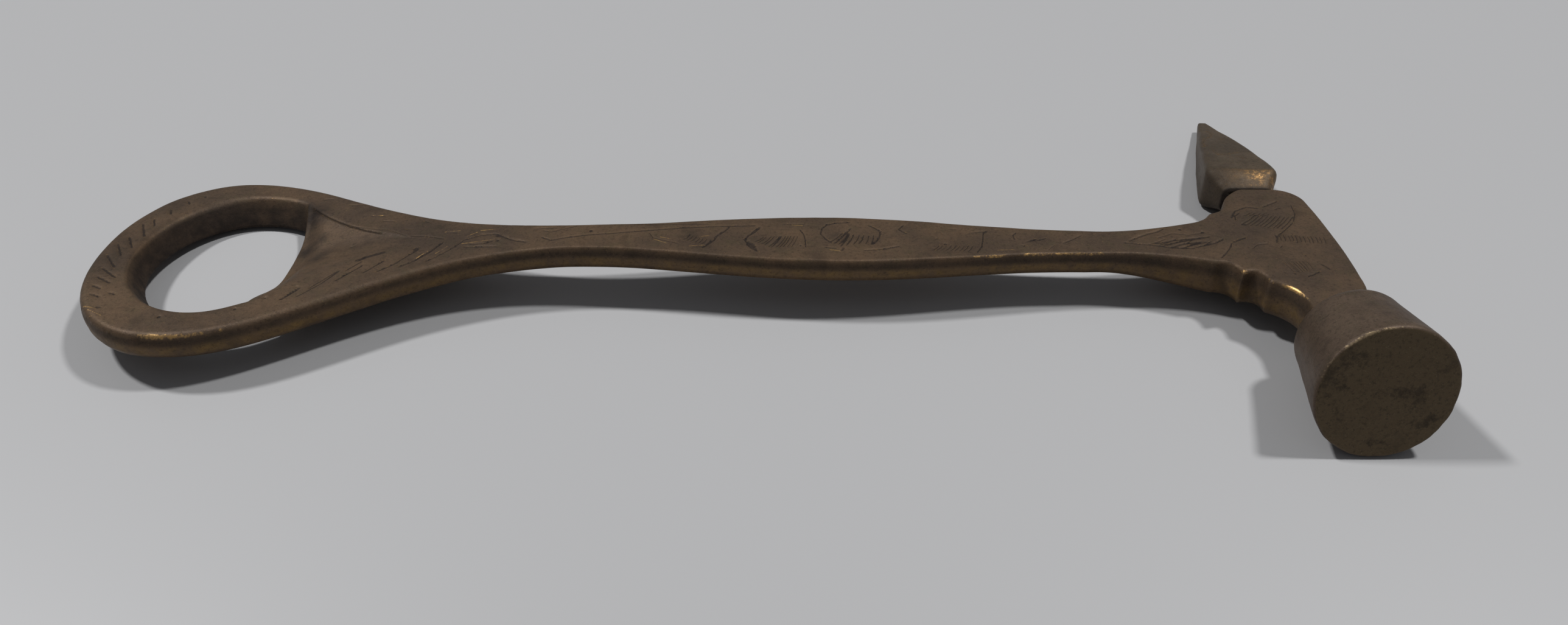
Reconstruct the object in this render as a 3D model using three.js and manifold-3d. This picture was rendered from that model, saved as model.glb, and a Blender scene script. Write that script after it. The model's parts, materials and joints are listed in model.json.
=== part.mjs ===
import * as THREE from 'three';
import { mergeVertices } from 'three/addons/utils/BufferGeometryUtils.js';
import Module from 'manifold-3d';

// A brass bar hammer: a flat cast bar with a cap-lifting loop at one end and a head plate
// at the other. The head plate carries a round striking head on one side and a four-sided
// ice pick on the other, each pulled up on a hidden stud.
// It is drawn flat first: X runs along the handle with the head's axis at X = 0, the loop is
// towards -X, the striking head towards -Y and the pick towards +Y. All sizes are in
// millimetres. At the end the whole hammer is laid down on the three places it rests on.

// Driving dimensions of the loop and its opening
const capDiameter = 32.1;          // a crown cap's skirt, which has to pass the opening
const capClearance = 0.7;          // room round the cap across the opening
const openingLength = 21.9;        // from the loop's inner end to the lip's corners
const openingRound = 14.1;         // half length of the opening's oval towards the loop's end
const openingRun = 15.3;           // and towards the lip, which stops the oval
const openingOffset = 0.5;         // the opening sits this far towards the pick's side
const rimSide = 7.2;               // width of the loop's rim at its sides, at mid height
const rimEnd = 6.7;                // the same at its far end
const loopThickness = 4.5;
const loopBluntness = 2.15;        // exponent of the loop's rounded end, 2 is a true ellipse
const loopBack = 2.8;              // the loop is widest this far beyond the opening's middle
const lipThickness = 1.1;
const sideDraft = 2.9;             // from the lower to the upper face its sides lean out this far
const endDraft = 1.8;              // and its rounded end leans out this far
const lipBow = 1.3;                // the lip is hollow, it bows this far away from the loop
const pocketLength = 27.0;         // from the lip to the point where its slope reaches the top
const pocketPointWidth = 2.0;
const pocketHollow = 2.8;          // the pocket's two sides bow in this much
const bankShare = 0.3;             // share of its half width that its sloping banks take

// Driving dimensions of the handle
const lipReach = 165.2;            // from the head's axis to the lip's corners
const rearNeckReach = 117.0;
const bellyReach = 76.0;
const foreNeckReach = 35.0;
const rearNeckWidth = 7.4;
const bellyWidth = 14.1;
const foreNeckWidth = 7.5;
const handleThickness = 4.0;
const handleTop = 2.2;             // height of the handle's upper face above the head's axis
const loopDrop = 4.1;              // the loop hangs this much below the handle
const dropStart = 110.0;           // reach where the drop begins
const shoulderSwell = 16.8;        // how long the shoulder stays wide after the loop
const neckSweep = 29.8;            // how long the shoulder runs thin before the neck

// Driving dimensions of the head plate
const plateThickness = 6.3;
const plateTop = 2.6;              // height of its upper face above the head's axis
const plateFront = 6.2;            // from the head's axis to the plate's front end
const plateThickStart = 33.0;      // reach where the handle starts to thicken
const plateThickEnd = 13.5;        // reach where it has the plate's thickness
const pickSideSpan = 18.2;         // from the centre line to the plate's pick side
const headSideSpan = 20.6;         // from the centre line to the back of the striking head
const plateFrontBow = 0.5;         // the plate's front edge bows out this much
const cornerRound = 4.6;
const firstRidge = [-12.0, 9.4];   // the ridge between the two flutes
const secondRidge = [-8.7, 11.8];  // the ridge after the second flute
const fluteRun = [3.5, 3.0];       // from the first flute's start to its ridge
const flareHollow = 1.0;           // hollow of the flare between the neck and the flutes
const fluteDepth = 1.2;
const softFluteDepth = 0.4;        // the flutes on the pick's side are shallow
const rootWidth = 9.4;             // width of the plate where the striking head seats
const rootReach = 17.0;            // from the centre line to where the plate has that width
const frontRootReach = 15.2;       // the same on the front side
const rootHollow = 0.9;            // hollow of the curve that leads to it
const shoulderBow = 0.9;           // the pick side's shoulder bows out instead
const shoulderInset = 2.45;        // that shoulder ends this far inside the pick's neck
const tenonLength = 1.0;           // how far the plate is let into the striking head

// Driving dimensions of the striking head
const faceDiameter = 20.8;
const backDiameter = 16.5;
const strikerLength = 16.4;
const backRound = 3.4;
const faceChamfer = 0.4;
const faceSlantDegrees = 9.2;      // the face was filed so that it looks slightly upwards

// Driving dimensions of the ice pick
const pickOffset = 2.2;            // the pick stands this much nearer to the loop
const pickLean = 1.0;              // its tip leans this far back towards the head's axis
const pickBaseWidth = 13.0;
const pickBaseHeight = 7.8;
const pickNeckLength = 4.3;        // the neck tapers from the base down to the plate
const pickNeckWidth = 8.7;         // its size at the plate
const pickNeckHeight = 4.6;
const pickLength = 25.8;           // from the base's shoulder to the tip
const pickTipWidth = 1.7;
const pickTipHeight = 1.2;
const pickSwell = 0.45;            // how far the pick's two sides bow out
const pickCrown = 0.32;            // how far its upper and lower faces bow out
const pickEdgeRound = 0.8;
const pickEdgeShare = 0.6;         // an edge's rounding is at most this share of the half size
const baseRound = 0.5;             // rounding of the base's near edge

// Hidden studs and the clearances between pieces
const strikerStudDiameter = 3.2;
const strikerStudLength = 16.0;
const pickStudDiameter = 2.6;
const pickStudLength = 14.0;
const seatGap = 0.3;               // between a piece and the shoulder it is pulled up to
const studGap = 0.3;               // round a stud in its hole
const edgeRound = 1.1;             // rounding of the bar's edges, seen from above
const edgeShare = 0.27;            // the share of the thickness that each rounding takes

// How finely the curves are drawn
const loopEndSteps = 16;
const shoulderSteps = 18;
const waveSteps = 9;
const flareSteps = 7;
const fluteSteps = 4;
const rootSteps = 6;
const cornerSteps = 5;
const openingSteps = 40;
const lipSteps = 8;
const pocketSteps = 6;
const bevelSteps = 3;
const rodSides = 20;
const turnedSides = 56;
const pickSteps = 10;

const wasm = await Module();
wasm.setup();

const brassTop = new THREE.MeshStandardMaterial({ color: 0x6b573d, roughness: 0.42, metalness: 0.9 });
const brassStriker = new THREE.MeshStandardMaterial({ color: 0x5d4a36, roughness: 0.38, metalness: 0.9 });
const brassPick = new THREE.MeshStandardMaterial({ color: 0x7a6445, roughness: 0.4, metalness: 0.9 });
const brassStud = new THREE.MeshStandardMaterial({ color: 0xa5813f, roughness: 0.35, metalness: 0.95 });

// Solids are cut with manifold-3d, so a geometry goes in and comes back by these two

function solidOf(geometry) {
  const bare = geometry.clone();
  bare.deleteAttribute('normal');
  bare.deleteAttribute('uv');
  const merged = mergeVertices(bare, 1e-4);
  return new wasm.Manifold(new wasm.Mesh({
    numProp: 3,
    vertProperties: new Float32Array(merged.attributes.position.array),
    triVerts: new Uint32Array(merged.index.array),
  }));
}

function geometryOf(solid) {
  const mesh = solid.getMesh();
  const geometry = new THREE.BufferGeometry();
  geometry.setAttribute('position', new THREE.BufferAttribute(mesh.vertProperties, 3));
  geometry.setIndex(new THREE.BufferAttribute(mesh.triVerts, 1));
  geometry.computeVertexNormals();
  return geometry;
}

const smooth = (t) => {
  const s = Math.min(1, Math.max(0, t));
  return s * s * (3 - 2 * s);
};

// Places along the bar that follow from the driving dimensions

const openingHalfWidth = (capDiameter + capClearance) / 2;
const lipX = -lipReach;
const openingEndX = lipX - openingLength;
const openingCentreX = openingEndX + openingRound;
const loopEndX = openingEndX - rimEnd;
const loopHalfWidth = openingHalfWidth + rimSide;
const loopCentreX = openingCentreX - loopBack;

// Height of the upper face and the thickness at a place along the bar

function topAt(x) {
  const drop = loopDrop * smooth((-x - dropStart) / (-openingCentreX - dropStart));
  const rise = (plateTop - handleTop) * smooth((plateThickStart + x) / (plateThickStart - plateThickEnd));
  return handleTop - drop + rise;
}

function thicknessAt(x) {
  const swell = smooth((plateThickStart + x) / (plateThickStart - plateThickEnd));
  const loopShare = smooth((-x - rearNeckReach) / (-openingCentreX - rearNeckReach));
  return handleThickness + (plateThickness - handleThickness) * swell
    + (loopThickness - handleThickness) * loopShare;
}

// The outline of one side, from the loop's end to the head plate

function loopEndPoints(count) {
  return Array.from({ length: count }, (_, i) => {
    const angle = (Math.PI / 2) * (i / count);
    const along = Math.cos(angle) ** (2 / loopBluntness);
    const across = Math.sin(angle) ** (2 / loopBluntness);
    return [loopCentreX + (loopEndX - loopCentreX) * along, loopHalfWidth * across];
  });
}

function shoulderPoints(count) {
  const curve = new THREE.CubicBezierCurve(
    new THREE.Vector2(loopCentreX, loopHalfWidth),
    new THREE.Vector2(loopCentreX + shoulderSwell, loopHalfWidth),
    new THREE.Vector2(-rearNeckReach - neckSweep, rearNeckWidth / 2),
    new THREE.Vector2(-rearNeckReach, rearNeckWidth / 2),
  );
  return curve.getPoints(count).slice(0, -1).map((p) => [p.x, p.y]);
}

function wavePoints(fromX, fromWidth, toX, toWidth, count) {
  return Array.from({ length: count }, (_, i) => {
    const t = i / count;
    const share = Math.sin((Math.PI / 2) * t) ** 2;
    return [fromX + (toX - fromX) * t, (fromWidth + (toWidth - fromWidth) * share) / 2];
  });
}

// A hollow stretch between two places, bowed towards the centre line by a depth
function hollowPoints(from, to, depth, count) {
  const side = new THREE.Vector2(to[1] - from[1], from[0] - to[0]).normalize();
  return Array.from({ length: count }, (_, i) => {
    const t = i / count;
    const bow = 4 * depth * t * (1 - t);
    return [
      from[0] + (to[0] - from[0]) * t + side.x * bow,
      from[1] + (to[1] - from[1]) * t + side.y * bow,
    ];
  });
}

const foreNeck = [-foreNeckReach, foreNeckWidth / 2];
const handleSide = [
  ...loopEndPoints(loopEndSteps),
  ...shoulderPoints(shoulderSteps),
  ...wavePoints(-rearNeckReach, rearNeckWidth, -bellyReach, bellyWidth, waveSteps),
  ...wavePoints(-bellyReach, bellyWidth, -foreNeckReach, foreNeckWidth, waveSteps),
];

// A rounded corner from one place to another, square to the sides it joins
function cornerPoints(from, to, count) {
  return Array.from({ length: count + 1 }, (_, i) => {
    const angle = (Math.PI / 2) * (i / count);
    return [
      from[0] + (to[0] - from[0]) * Math.sin(angle),
      from[1] + (to[1] - from[1]) * (1 - Math.cos(angle)),
    ];
  });
}

const fluteStart = [firstRidge[0] - fluteRun[0], firstRidge[1] - fluteRun[1]];
const flareWith = (depth) => [
  ...hollowPoints(foreNeck, fluteStart, flareHollow, flareSteps),
  ...hollowPoints(fluteStart, firstRidge, depth, fluteSteps),
  ...hollowPoints(firstRidge, secondRidge, depth, fluteSteps),
];

const rootHalf = rootWidth / 2;
const tenonEnd = headSideSpan + tenonLength;
const strikerSide = [
  ...flareWith(fluteDepth),
  ...hollowPoints(secondRidge, [-rootHalf, rootReach], rootHollow, rootSteps),
  [-rootHalf, rootReach],
  [-rootHalf, tenonEnd],
  [rootHalf, tenonEnd],
  ...cornerPoints([rootHalf, frontRootReach], [plateFront, frontRootReach - cornerRound], cornerSteps),
].map(([x, y]) => [x, -y]);

const pickSeat = [-pickOffset - pickNeckWidth / 2 + shoulderInset, pickSideSpan];
const pickSide = [
  ...flareWith(softFluteDepth),
  ...hollowPoints(secondRidge, pickSeat, -shoulderBow, rootSteps),
  pickSeat,
];

// The outline runs down the striking side and back along the pick's side
const frontCorner = cornerPoints(
  [plateFront - cornerRound, pickSideSpan],
  [plateFront, pickSideSpan - cornerRound],
  cornerSteps,
);
const outline = [
  ...handleSide.slice(1).map(([x, y]) => [x, -y]),
  ...strikerSide,
  [plateFront + plateFrontBow, 0],
  ...frontCorner.reverse(),
  ...pickSide.reverse(),
  ...handleSide.slice().reverse(),
].map(([x, y]) => new THREE.Vector2(x, y));

// The opening at a level from -0.5, the lower face, to 0.5, the upper face. Its oval is
// stopped by the hollow lip, whose two corners lie on the oval at every level.
function ovalAt(level) {
  const halfWidth = openingHalfWidth + sideDraft * level;
  const towardsEnd = openingRound + endDraft * level;
  const towardsLip = openingRun + endDraft * level;
  const lipAngle = Math.acos((lipX - openingCentreX) / towardsLip);
  return { halfWidth, towardsEnd, towardsLip, lipAngle, lipCorner: halfWidth * Math.sin(lipAngle) };
}

function openingOutline(level) {
  const { halfWidth, towardsEnd, towardsLip, lipAngle, lipCorner } = ovalAt(level);
  const oval = Array.from({ length: openingSteps + 1 }, (_, i) => {
    const angle = lipAngle + (2 * Math.PI - 2 * lipAngle) * (i / openingSteps);
    const reach = Math.cos(angle) > 0 ? towardsLip : towardsEnd;
    return new THREE.Vector2(
      openingCentreX + reach * Math.cos(angle),
      openingOffset + halfWidth * Math.sin(angle),
    );
  });
  const lip = Array.from({ length: lipSteps - 1 }, (_, i) => {
    const across = -1 + (2 * (i + 1)) / lipSteps;
    return new THREE.Vector2(lipX + lipBow * (1 - across ** 2), openingOffset + lipCorner * across);
  });
  return [...oval, ...lip];
}

// The bar is one casting: a rounded slab that follows the upper face's height and the
// thickness along its length, with the pocket and the sockets cut out of it

function barSlab() {
  const shape = new THREE.Shape(outline);
  shape.holes.push(new THREE.Path(openingOutline(-0.5)));
  const slab = new THREE.ExtrudeGeometry(shape, {
    depth: 1 - 2 * edgeShare,
    steps: 1,
    bevelEnabled: true,
    bevelThickness: edgeShare,
    bevelSize: edgeRound,
    bevelOffset: -edgeRound,
    bevelSegments: bevelSteps,
  });
  slab.translate(0, 0, edgeShare);
  const place = slab.attributes.position;
  for (let i = 0; i < place.count; i += 1) {
    const x = place.getX(i);
    place.setZ(i, topAt(x) - thicknessAt(x) * (1 - place.getZ(i)));
  }
  return slab;
}

// A closed plug between two like outlines, given as rings of places
function plugBetween(lower, upper) {
  const count = lower.length;
  const outlinePlan = lower.map(([x, y]) => new THREE.Vector2(x, y));
  const index = [];
  for (const [a, b, c] of THREE.ShapeUtils.triangulateShape(outlinePlan, [])) {
    index.push(a, c, b, count + a, count + b, count + c);
  }
  for (let i = 0; i < count; i += 1) {
    const next = (i + 1) % count;
    index.push(i, next, count + i, next, count + next, count + i);
  }
  const geometry = new THREE.BufferGeometry();
  const places = new Float32Array([...lower, ...upper].flat());
  geometry.setAttribute('position', new THREE.BufferAttribute(places, 3));
  geometry.setIndex(index);
  return geometry;
}

// The opening's wall leans outwards, so a tapered plug widens it towards the upper face
function openingCutter() {
  const overrun = 1;
  const bottom = topAt(openingCentreX) - thicknessAt(openingCentreX);
  const [lower, upper] = [-overrun, loopThickness + overrun].map((height) => (
    openingOutline(height / loopThickness - 0.5).map((p) => [p.x, p.y, bottom + height])
  ));
  return plugBetween(lower, upper);
}

// The pocket's floor slopes from the thin lip up to the handle's upper face, between two
// hollow sides that start at the lip's upper corners and slope down to the floor as banks
function pocketCutter() {
  const overrun = 0.8;
  const lipFloor = topAt(lipX) - thicknessAt(lipX) + lipThickness;
  const endX = lipX + pocketLength;
  const slope = (topAt(endX) - lipFloor) / pocketLength;
  const endHalf = pocketPointWidth / 2;
  const { lipCorner } = ovalAt(0.5);
  const startHalf = lipCorner + (lipCorner - endHalf) * (overrun / pocketLength);
  const side = [
    ...hollowPoints([lipX - overrun, startHalf], [endX, endHalf], pocketHollow, pocketSteps),
    [endX, endHalf],
  ];
  const plan = [...side.map(([x, y]) => [x, -y]), ...side.reverse()];
  const floorAt = (x) => topAt(endX) - slope * (endX - x);
  const floor = plan.map(([x, y]) => [x, openingOffset + y * (1 - bankShare), floorAt(x)]);
  const roof = plan.map(([x, y]) => {
    const depth = Math.max(topAt(x) - floorAt(x), overrun);
    const spread = 1 + bankShare * (overrun / depth);
    return [x, openingOffset + y * spread, topAt(x) + overrun];
  });
  return plugBetween(floor, roof);
}

// A round rod along Y, for the studs and their holes
function rod(diameter, length, fromY, atX = 0) {
  const geometry = new THREE.CylinderGeometry(diameter / 2, diameter / 2, length, rodSides);
  geometry.translate(atX, fromY + length / 2, 0);
  return geometry;
}

const strikerBackY = -headSideSpan;
const pickShoulderY = pickSideSpan + seatGap;
const strikerStudY = -tenonEnd - strikerStudLength / 2;
const pickStudY = pickShoulderY - pickStudLength / 2;

const strikerStud = (gap) => rod(
  strikerStudDiameter + 2 * gap,
  strikerStudLength + 2 * gap,
  strikerStudY - gap,
);
const pickStud = (gap) => rod(
  pickStudDiameter + 2 * gap,
  pickStudLength + 2 * gap,
  pickStudY - gap,
  -pickOffset,
);

function makeBar() {
  const body = solidOf(barSlab())
    .subtract(solidOf(openingCutter()))
    .subtract(solidOf(pocketCutter()))
    .subtract(solidOf(strikerStud(studGap)))
    .subtract(solidOf(pickStud(studGap)));
  return geometryOf(body);
}

// The shallow recess in the striking head's back that the plate's end is let into
function tenonRecess() {
  const depth = tenonLength + seatGap;
  const recess = new THREE.BoxGeometry(
    rootWidth + 2 * seatGap,
    2 * depth,
    plateThickness + 2 * seatGap,
  );
  recess.translate(0, strikerBackY, plateTop - plateThickness / 2);
  return recess;
}

// The striking head is turned, so it is a lathe shape along -Y; its face is then slanted
function makeStriker() {
  const backRadius = backDiameter / 2;
  const faceRadius = faceDiameter / 2;
  const roundSteps = 5;
  const profile = [new THREE.Vector2(0, 0)];
  for (let i = 0; i <= roundSteps; i += 1) {
    const angle = (Math.PI / 2) * (i / roundSteps);
    profile.push(new THREE.Vector2(
      backRadius - backRound + backRound * Math.sin(angle),
      backRound - backRound * Math.cos(angle),
    ));
  }
  profile.push(new THREE.Vector2(faceRadius, strikerLength - faceChamfer));
  profile.push(new THREE.Vector2(faceRadius - faceChamfer, strikerLength));
  profile.push(new THREE.Vector2(0, strikerLength));
  const turned = new THREE.LatheGeometry(profile, turnedSides);
  turned.rotateX(Math.PI);
  const place = turned.attributes.position;
  const slant = Math.tan(THREE.MathUtils.degToRad(faceSlantDegrees));
  for (let i = 0; i < place.count; i += 1) {
    const along = -place.getY(i) / strikerLength;
    place.setY(i, place.getY(i) + slant * place.getZ(i) * along);
  }
  turned.translate(0, strikerBackY, 0);
  return geometryOf(solidOf(turned)
    .subtract(solidOf(tenonRecess()))
    .subtract(solidOf(strikerStud(studGap))));
}

// Half sizes of the pick at a share of its length, from the base's shoulder to the tip
function pickSectionAt(share) {
  const bow = 4 * share * (1 - share);
  return [
    (pickBaseWidth + (pickTipWidth - pickBaseWidth) * share) / 2 + pickSwell * bow,
    (pickBaseHeight + (pickTipHeight - pickBaseHeight) * share) / 2 + pickCrown * bow,
  ];
}

// A closed skin over rounded four-sided sections that follow each other along Y
function skinOf(sections, corner, steps) {
  const ring = 4 * (steps + 1);
  const positions = [];
  for (const { y, half, centreX } of sections) {
    const round = Math.min(corner, half[0] * pickEdgeShare, half[1] * pickEdgeShare);
    for (let quarter = 0; quarter < 4; quarter += 1) {
      const signX = quarter === 0 || quarter === 3 ? 1 : -1;
      const signZ = quarter < 2 ? 1 : -1;
      for (let step = 0; step <= steps; step += 1) {
        const angle = (Math.PI / 2) * (quarter + step / steps);
        positions.push(
          centreX + signX * (half[0] - round) + round * Math.cos(angle),
          y,
          signZ * (half[1] - round) + round * Math.sin(angle),
        );
      }
    }
  }
  const index = [];
  for (let s = 0; s < sections.length - 1; s += 1) {
    for (let i = 0; i < ring; i += 1) {
      const a = s * ring + i;
      const b = s * ring + ((i + 1) % ring);
      index.push(a, a + ring, b, b, a + ring, b + ring);
    }
  }
  for (let i = 1; i < ring - 1; i += 1) {
    index.push(0, i, i + 1);
    const last = (sections.length - 1) * ring;
    index.push(last, last + i + 1, last + i);
  }
  const geometry = new THREE.BufferGeometry();
  geometry.setAttribute('position', new THREE.BufferAttribute(new Float32Array(positions), 3));
  geometry.setIndex(index);
  return geometry;
}

function makePick() {
  const baseY = pickShoulderY + pickNeckLength;
  const neckHalf = [pickNeckWidth / 2, pickNeckHeight / 2];
  const neckShare = baseRound / pickNeckLength;
  const shoulderHalf = pickSectionAt(0).map((half, k) => half + (neckHalf[k] - half) * neckShare);
  const sections = [
    { y: pickShoulderY, half: neckHalf, centreX: -pickOffset },
    { y: baseY - baseRound, half: shoulderHalf, centreX: -pickOffset },
    { y: baseY + baseRound, half: pickSectionAt(0), centreX: -pickOffset },
  ];
  for (let i = 1; i <= pickSteps; i += 1) {
    const share = i / pickSteps;
    sections.push({
      y: baseY + baseRound + (pickLength - baseRound) * share,
      half: pickSectionAt(share),
      centreX: -pickOffset + pickLean * share,
    });
  }
  const skin = skinOf(sections, pickEdgeRound, bevelSteps);
  return geometryOf(solidOf(skin).subtract(solidOf(pickStud(studGap))));
}

// The hammer lies on three places: the striking head's rim, the pick and the loop. The plane
// through them is found from the pieces themselves, starting with the lowest point of each.

function balancePoint(geometries) {
  const centre = new THREE.Vector3();
  let volume = 0;
  for (const geometry of geometries) {
    const place = geometry.attributes.position;
    const index = geometry.index;
    for (let i = 0; i < index.count; i += 3) {
      const corners = [0, 1, 2].map((k) => index.getX(i + k));
      const [a, b, c] = corners.map((k) => new THREE.Vector3().fromBufferAttribute(place, k));
      const wedge = a.dot(b.clone().cross(c)) / 6;
      volume += wedge;
      centre.addScaledVector(a.add(b).add(c), wedge / 4);
    }
  }
  return centre.divideScalar(volume);
}

function upwardNormal([a, b, c]) {
  const normal = b.clone().sub(a).cross(c.clone().sub(a)).normalize();
  return normal.z < 0 ? normal.negate() : normal;
}

// Seen from above, the balance point has to lie inside the three supports
function isInside(trio, centre) {
  const turns = trio.map((a, i) => {
    const b = trio[(i + 1) % 3];
    return Math.sign((b.x - a.x) * (centre.y - a.y) - (b.y - a.y) * (centre.x - a.x));
  });
  return turns[0] === turns[1] && turns[1] === turns[2];
}

function restingNormal(points, centre) {
  const lowest = (list) => list.reduce((a, b) => (b.z < a.z ? b : a));
  let supports = [
    lowest(points.filter((p) => p.y < strikerBackY)),
    lowest(points.filter((p) => p.y > pickShoulderY && p.x > lipX / 2)),
    points.filter((p) => p.x < lipX).reduce((a, b) => (b.y - b.z > a.y - a.z ? b : a)),
  ];
  const rounds = 60;
  const contactGap = 1e-5;
  for (let round = 0; round < rounds; round += 1) {
    const normal = upwardNormal(supports);
    const deepest = points.reduce((a, b) => (normal.dot(b) < normal.dot(a) ? b : a));
    if (normal.dot(deepest) > normal.dot(supports[0]) - contactGap) break;
    supports = supports
      .map((_, i) => supports.map((p, j) => (j === i ? deepest : p)))
      .find((trio) => isInside(trio, centre));
  }
  return upwardNormal(supports);
}

const pieces = [
  ['bar', makeBar(), brassTop],
  ['striking_head', makeStriker(), brassStriker],
  ['ice_pick', makePick(), brassPick],
  ['striking_head_stud', strikerStud(0), brassStud],
  ['pick_stud', pickStud(0), brassStud],
];

const hammer = new THREE.Group();
const allPoints = [];
for (const [name, geometry, material] of pieces) {
  const mesh = new THREE.Mesh(geometry, material);
  mesh.name = name;
  hammer.add(mesh);
  const place = geometry.attributes.position;
  for (let i = 0; i < place.count; i += 1) {
    allPoints.push(new THREE.Vector3().fromBufferAttribute(place, i));
  }
}

const balance = balancePoint(pieces.map(([, geometry]) => geometry));
const normal = restingNormal(allPoints, balance);
const along = new THREE.Vector3(1, 0, 0).addScaledVector(normal, -normal.x).normalize();
const across = new THREE.Vector3().crossVectors(normal, along);
const laidDown = new THREE.Matrix4().makeBasis(along, across, normal).transpose();
const box = new THREE.Box3().setFromPoints(allPoints.map((p) => p.applyMatrix4(laidDown)));
const middle = box.getCenter(new THREE.Vector3());
hammer.setRotationFromMatrix(laidDown);
hammer.position.set(-middle.x, -middle.y, -box.min.z);

const part = new THREE.Group();
part.add(hammer);
export default part;
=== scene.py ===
# %% [markdown]
# # A chased brass bar hammer
# A bar hammer cracks ice and lifts crown caps. It is a slim cast handle with a loop at one end
# and a flat head plate at the other, which carries a round striking head and a four-sided pick.
# The imported CAD model gives every place and size. This script keeps them and makes the surfaces:
# fine meshes with the chased leaves cut into them, and patinated brass that is worn bright
# along its edges, with painted shade, highlights and reflections in its colour.

import json
import math

import bpy
import numpy as np
from mathutils import Matrix, Vector, noise
from mathutils.geometry import delaunay_2d_cdt


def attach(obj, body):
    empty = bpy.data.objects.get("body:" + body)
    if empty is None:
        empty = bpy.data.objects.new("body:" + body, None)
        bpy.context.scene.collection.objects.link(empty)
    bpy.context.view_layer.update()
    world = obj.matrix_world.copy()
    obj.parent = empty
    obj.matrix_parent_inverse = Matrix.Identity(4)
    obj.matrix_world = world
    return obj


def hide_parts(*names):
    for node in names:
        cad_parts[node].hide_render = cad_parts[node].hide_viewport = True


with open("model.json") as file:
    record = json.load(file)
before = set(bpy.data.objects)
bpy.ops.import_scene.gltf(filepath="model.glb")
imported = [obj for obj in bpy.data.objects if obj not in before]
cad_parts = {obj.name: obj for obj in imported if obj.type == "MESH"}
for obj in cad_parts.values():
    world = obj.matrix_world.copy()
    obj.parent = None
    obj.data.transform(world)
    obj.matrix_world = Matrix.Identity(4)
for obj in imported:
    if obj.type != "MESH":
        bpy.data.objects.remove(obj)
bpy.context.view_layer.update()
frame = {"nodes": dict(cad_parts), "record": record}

# %% [markdown]
# ## The hammer's own axes
# The hammer lies tilted on three places, so its flat faces aren't level. It is easier to model
# flat, in millimetres, and to lay the finished mesh down afterwards. Two mounts of the record
# give the axes: X runs along the handle, Y across it towards the pick, Z up out of the handle,
# and the origin is where the head's axis crosses the handle's.

# %% Find the hammer's own axes from its mounts
MM = 0.001
PLATE_POINT_BACK = 2.0      # the plate's mount lies this far towards the loop
PLATE_TOP = 2.6
PLATE_THICKNESS = 6.3

mounts = {mount["name"]: mount for mount in frame["record"]["mounts"]}
along = Vector(mounts["hanging_loop"]["axis"]).normalized()
upward = -Vector(mounts["plate_under_face"]["axis"]).normalized()
sideways = upward.cross(along).normalized()
along = sideways.cross(upward)
turn = Matrix((along, sideways, upward)).transposed()
plate_point = Vector((-PLATE_POINT_BACK, 0.0, PLATE_TOP - PLATE_THICKNESS))
origin = Vector(mounts["plate_under_face"]["pos_m"]) - turn @ plate_point * MM
laid_down = Matrix.Translation(origin) @ turn.to_4x4() @ Matrix.Scale(MM, 4)
print("origin", [round(v, 4) for v in origin])

# %% [markdown]
# ## Sizes
# Every size is in millimetres and is a size of the real hammer. The bar's outline is drawn from
# few of them, so that a change of one moves everything that follows from it.

# %% Sizes of the bar
HALF_OPENING = 16.4         # half the opening's width at mid height
OPENING_OFFSET = 0.5
LIP_X = -165.2
LIP_BOW = 1.3
OPENING_END_X = -187.1
OPENING_ROUND = 14.1
OPENING_RUN = 15.3
SIDE_DRAFT = 2.9
END_DRAFT = 1.8
RIM_SIDE = 7.2
RIM_END = 6.7
LOOP_THICKNESS = 4.5
LOOP_BLUNTNESS = 2.15
LOOP_BACK = 2.8
LIP_THICKNESS = 1.1
POCKET_LENGTH = 27.0
POCKET_POINT = 1.0          # half width of the pocket's far end
POCKET_HOLLOW = 2.8
POCKET_STEP = 0.4           # the chased step round the pocket
POCKET_STEP_WIDTH = 0.25
POCKET_BANK = 0.3           # how steeply the bank below the step falls

REAR_NECK = (-117.0, 3.7)   # place along the handle and half width
BELLY = (-76.0, 7.05)
FORE_NECK = (-35.0, 3.75)
HANDLE_THICKNESS = 4.0
HANDLE_TOP = 2.2
LOOP_DROP = 4.1
DROP_START = -110.0
SHOULDER_SWELL = 16.8
NECK_SWEEP = 29.8

PLATE_FRONT = 6.2
PLATE_FRONT_BOW = 0.5
THICK_START = -33.0
THICK_END = -13.5
PICK_SIDE = 18.2
HEAD_SIDE = 20.6
CORNER_ROUND = 4.6
FLUTE_START = (-15.5, 6.4)
FIRST_RIDGE = (-12.0, 9.4)
SECOND_RIDGE = (-8.7, 11.8)
FLARE_HOLLOW = 1.0
FLUTE_DEPTHS = (1.2, 1.6)
SOFT_FLUTE_DEPTHS = (0.4, 0.4)      # on the pick's side
ROOT = (-4.7, 17.0)
FRONT_ROOT_REACH = 15.2
ROOT_HOLLOW = 0.9
TENON_LENGTH = 1.0
PICK_SEAT = (-4.1, 18.2)

centre_x = OPENING_END_X + OPENING_ROUND
loop_centre_x = centre_x - LOOP_BACK
loop_end_x = OPENING_END_X - RIM_END
loop_half = HALF_OPENING + RIM_SIDE
print("loop from", round(loop_end_x, 1), "half width", loop_half)

# %% [markdown]
# ## Heights along the bar
# The casting isn't one flat slab: the loop droops about four millimetres below the handle and the
# head plate is half as thick again. Both are smooth functions of the place along the bar, which
# keeps every later step simple: a mesh is first laid out in plan and then lifted to its height.

# %% Upper and lower face as functions of the place along the bar
def smooth(t):
    s = np.clip(t, 0.0, 1.0)
    return s * s * (3.0 - 2.0 * s)


def bell(away, reach):
    return np.exp(-((away / reach) ** 2))


def plate_share(x):
    return smooth((x - THICK_START) / (THICK_END - THICK_START))


def top_at(x):
    drop = LOOP_DROP * smooth((DROP_START - x) / (DROP_START - centre_x))
    return HANDLE_TOP - drop + (PLATE_TOP - HANDLE_TOP) * plate_share(x)


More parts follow.
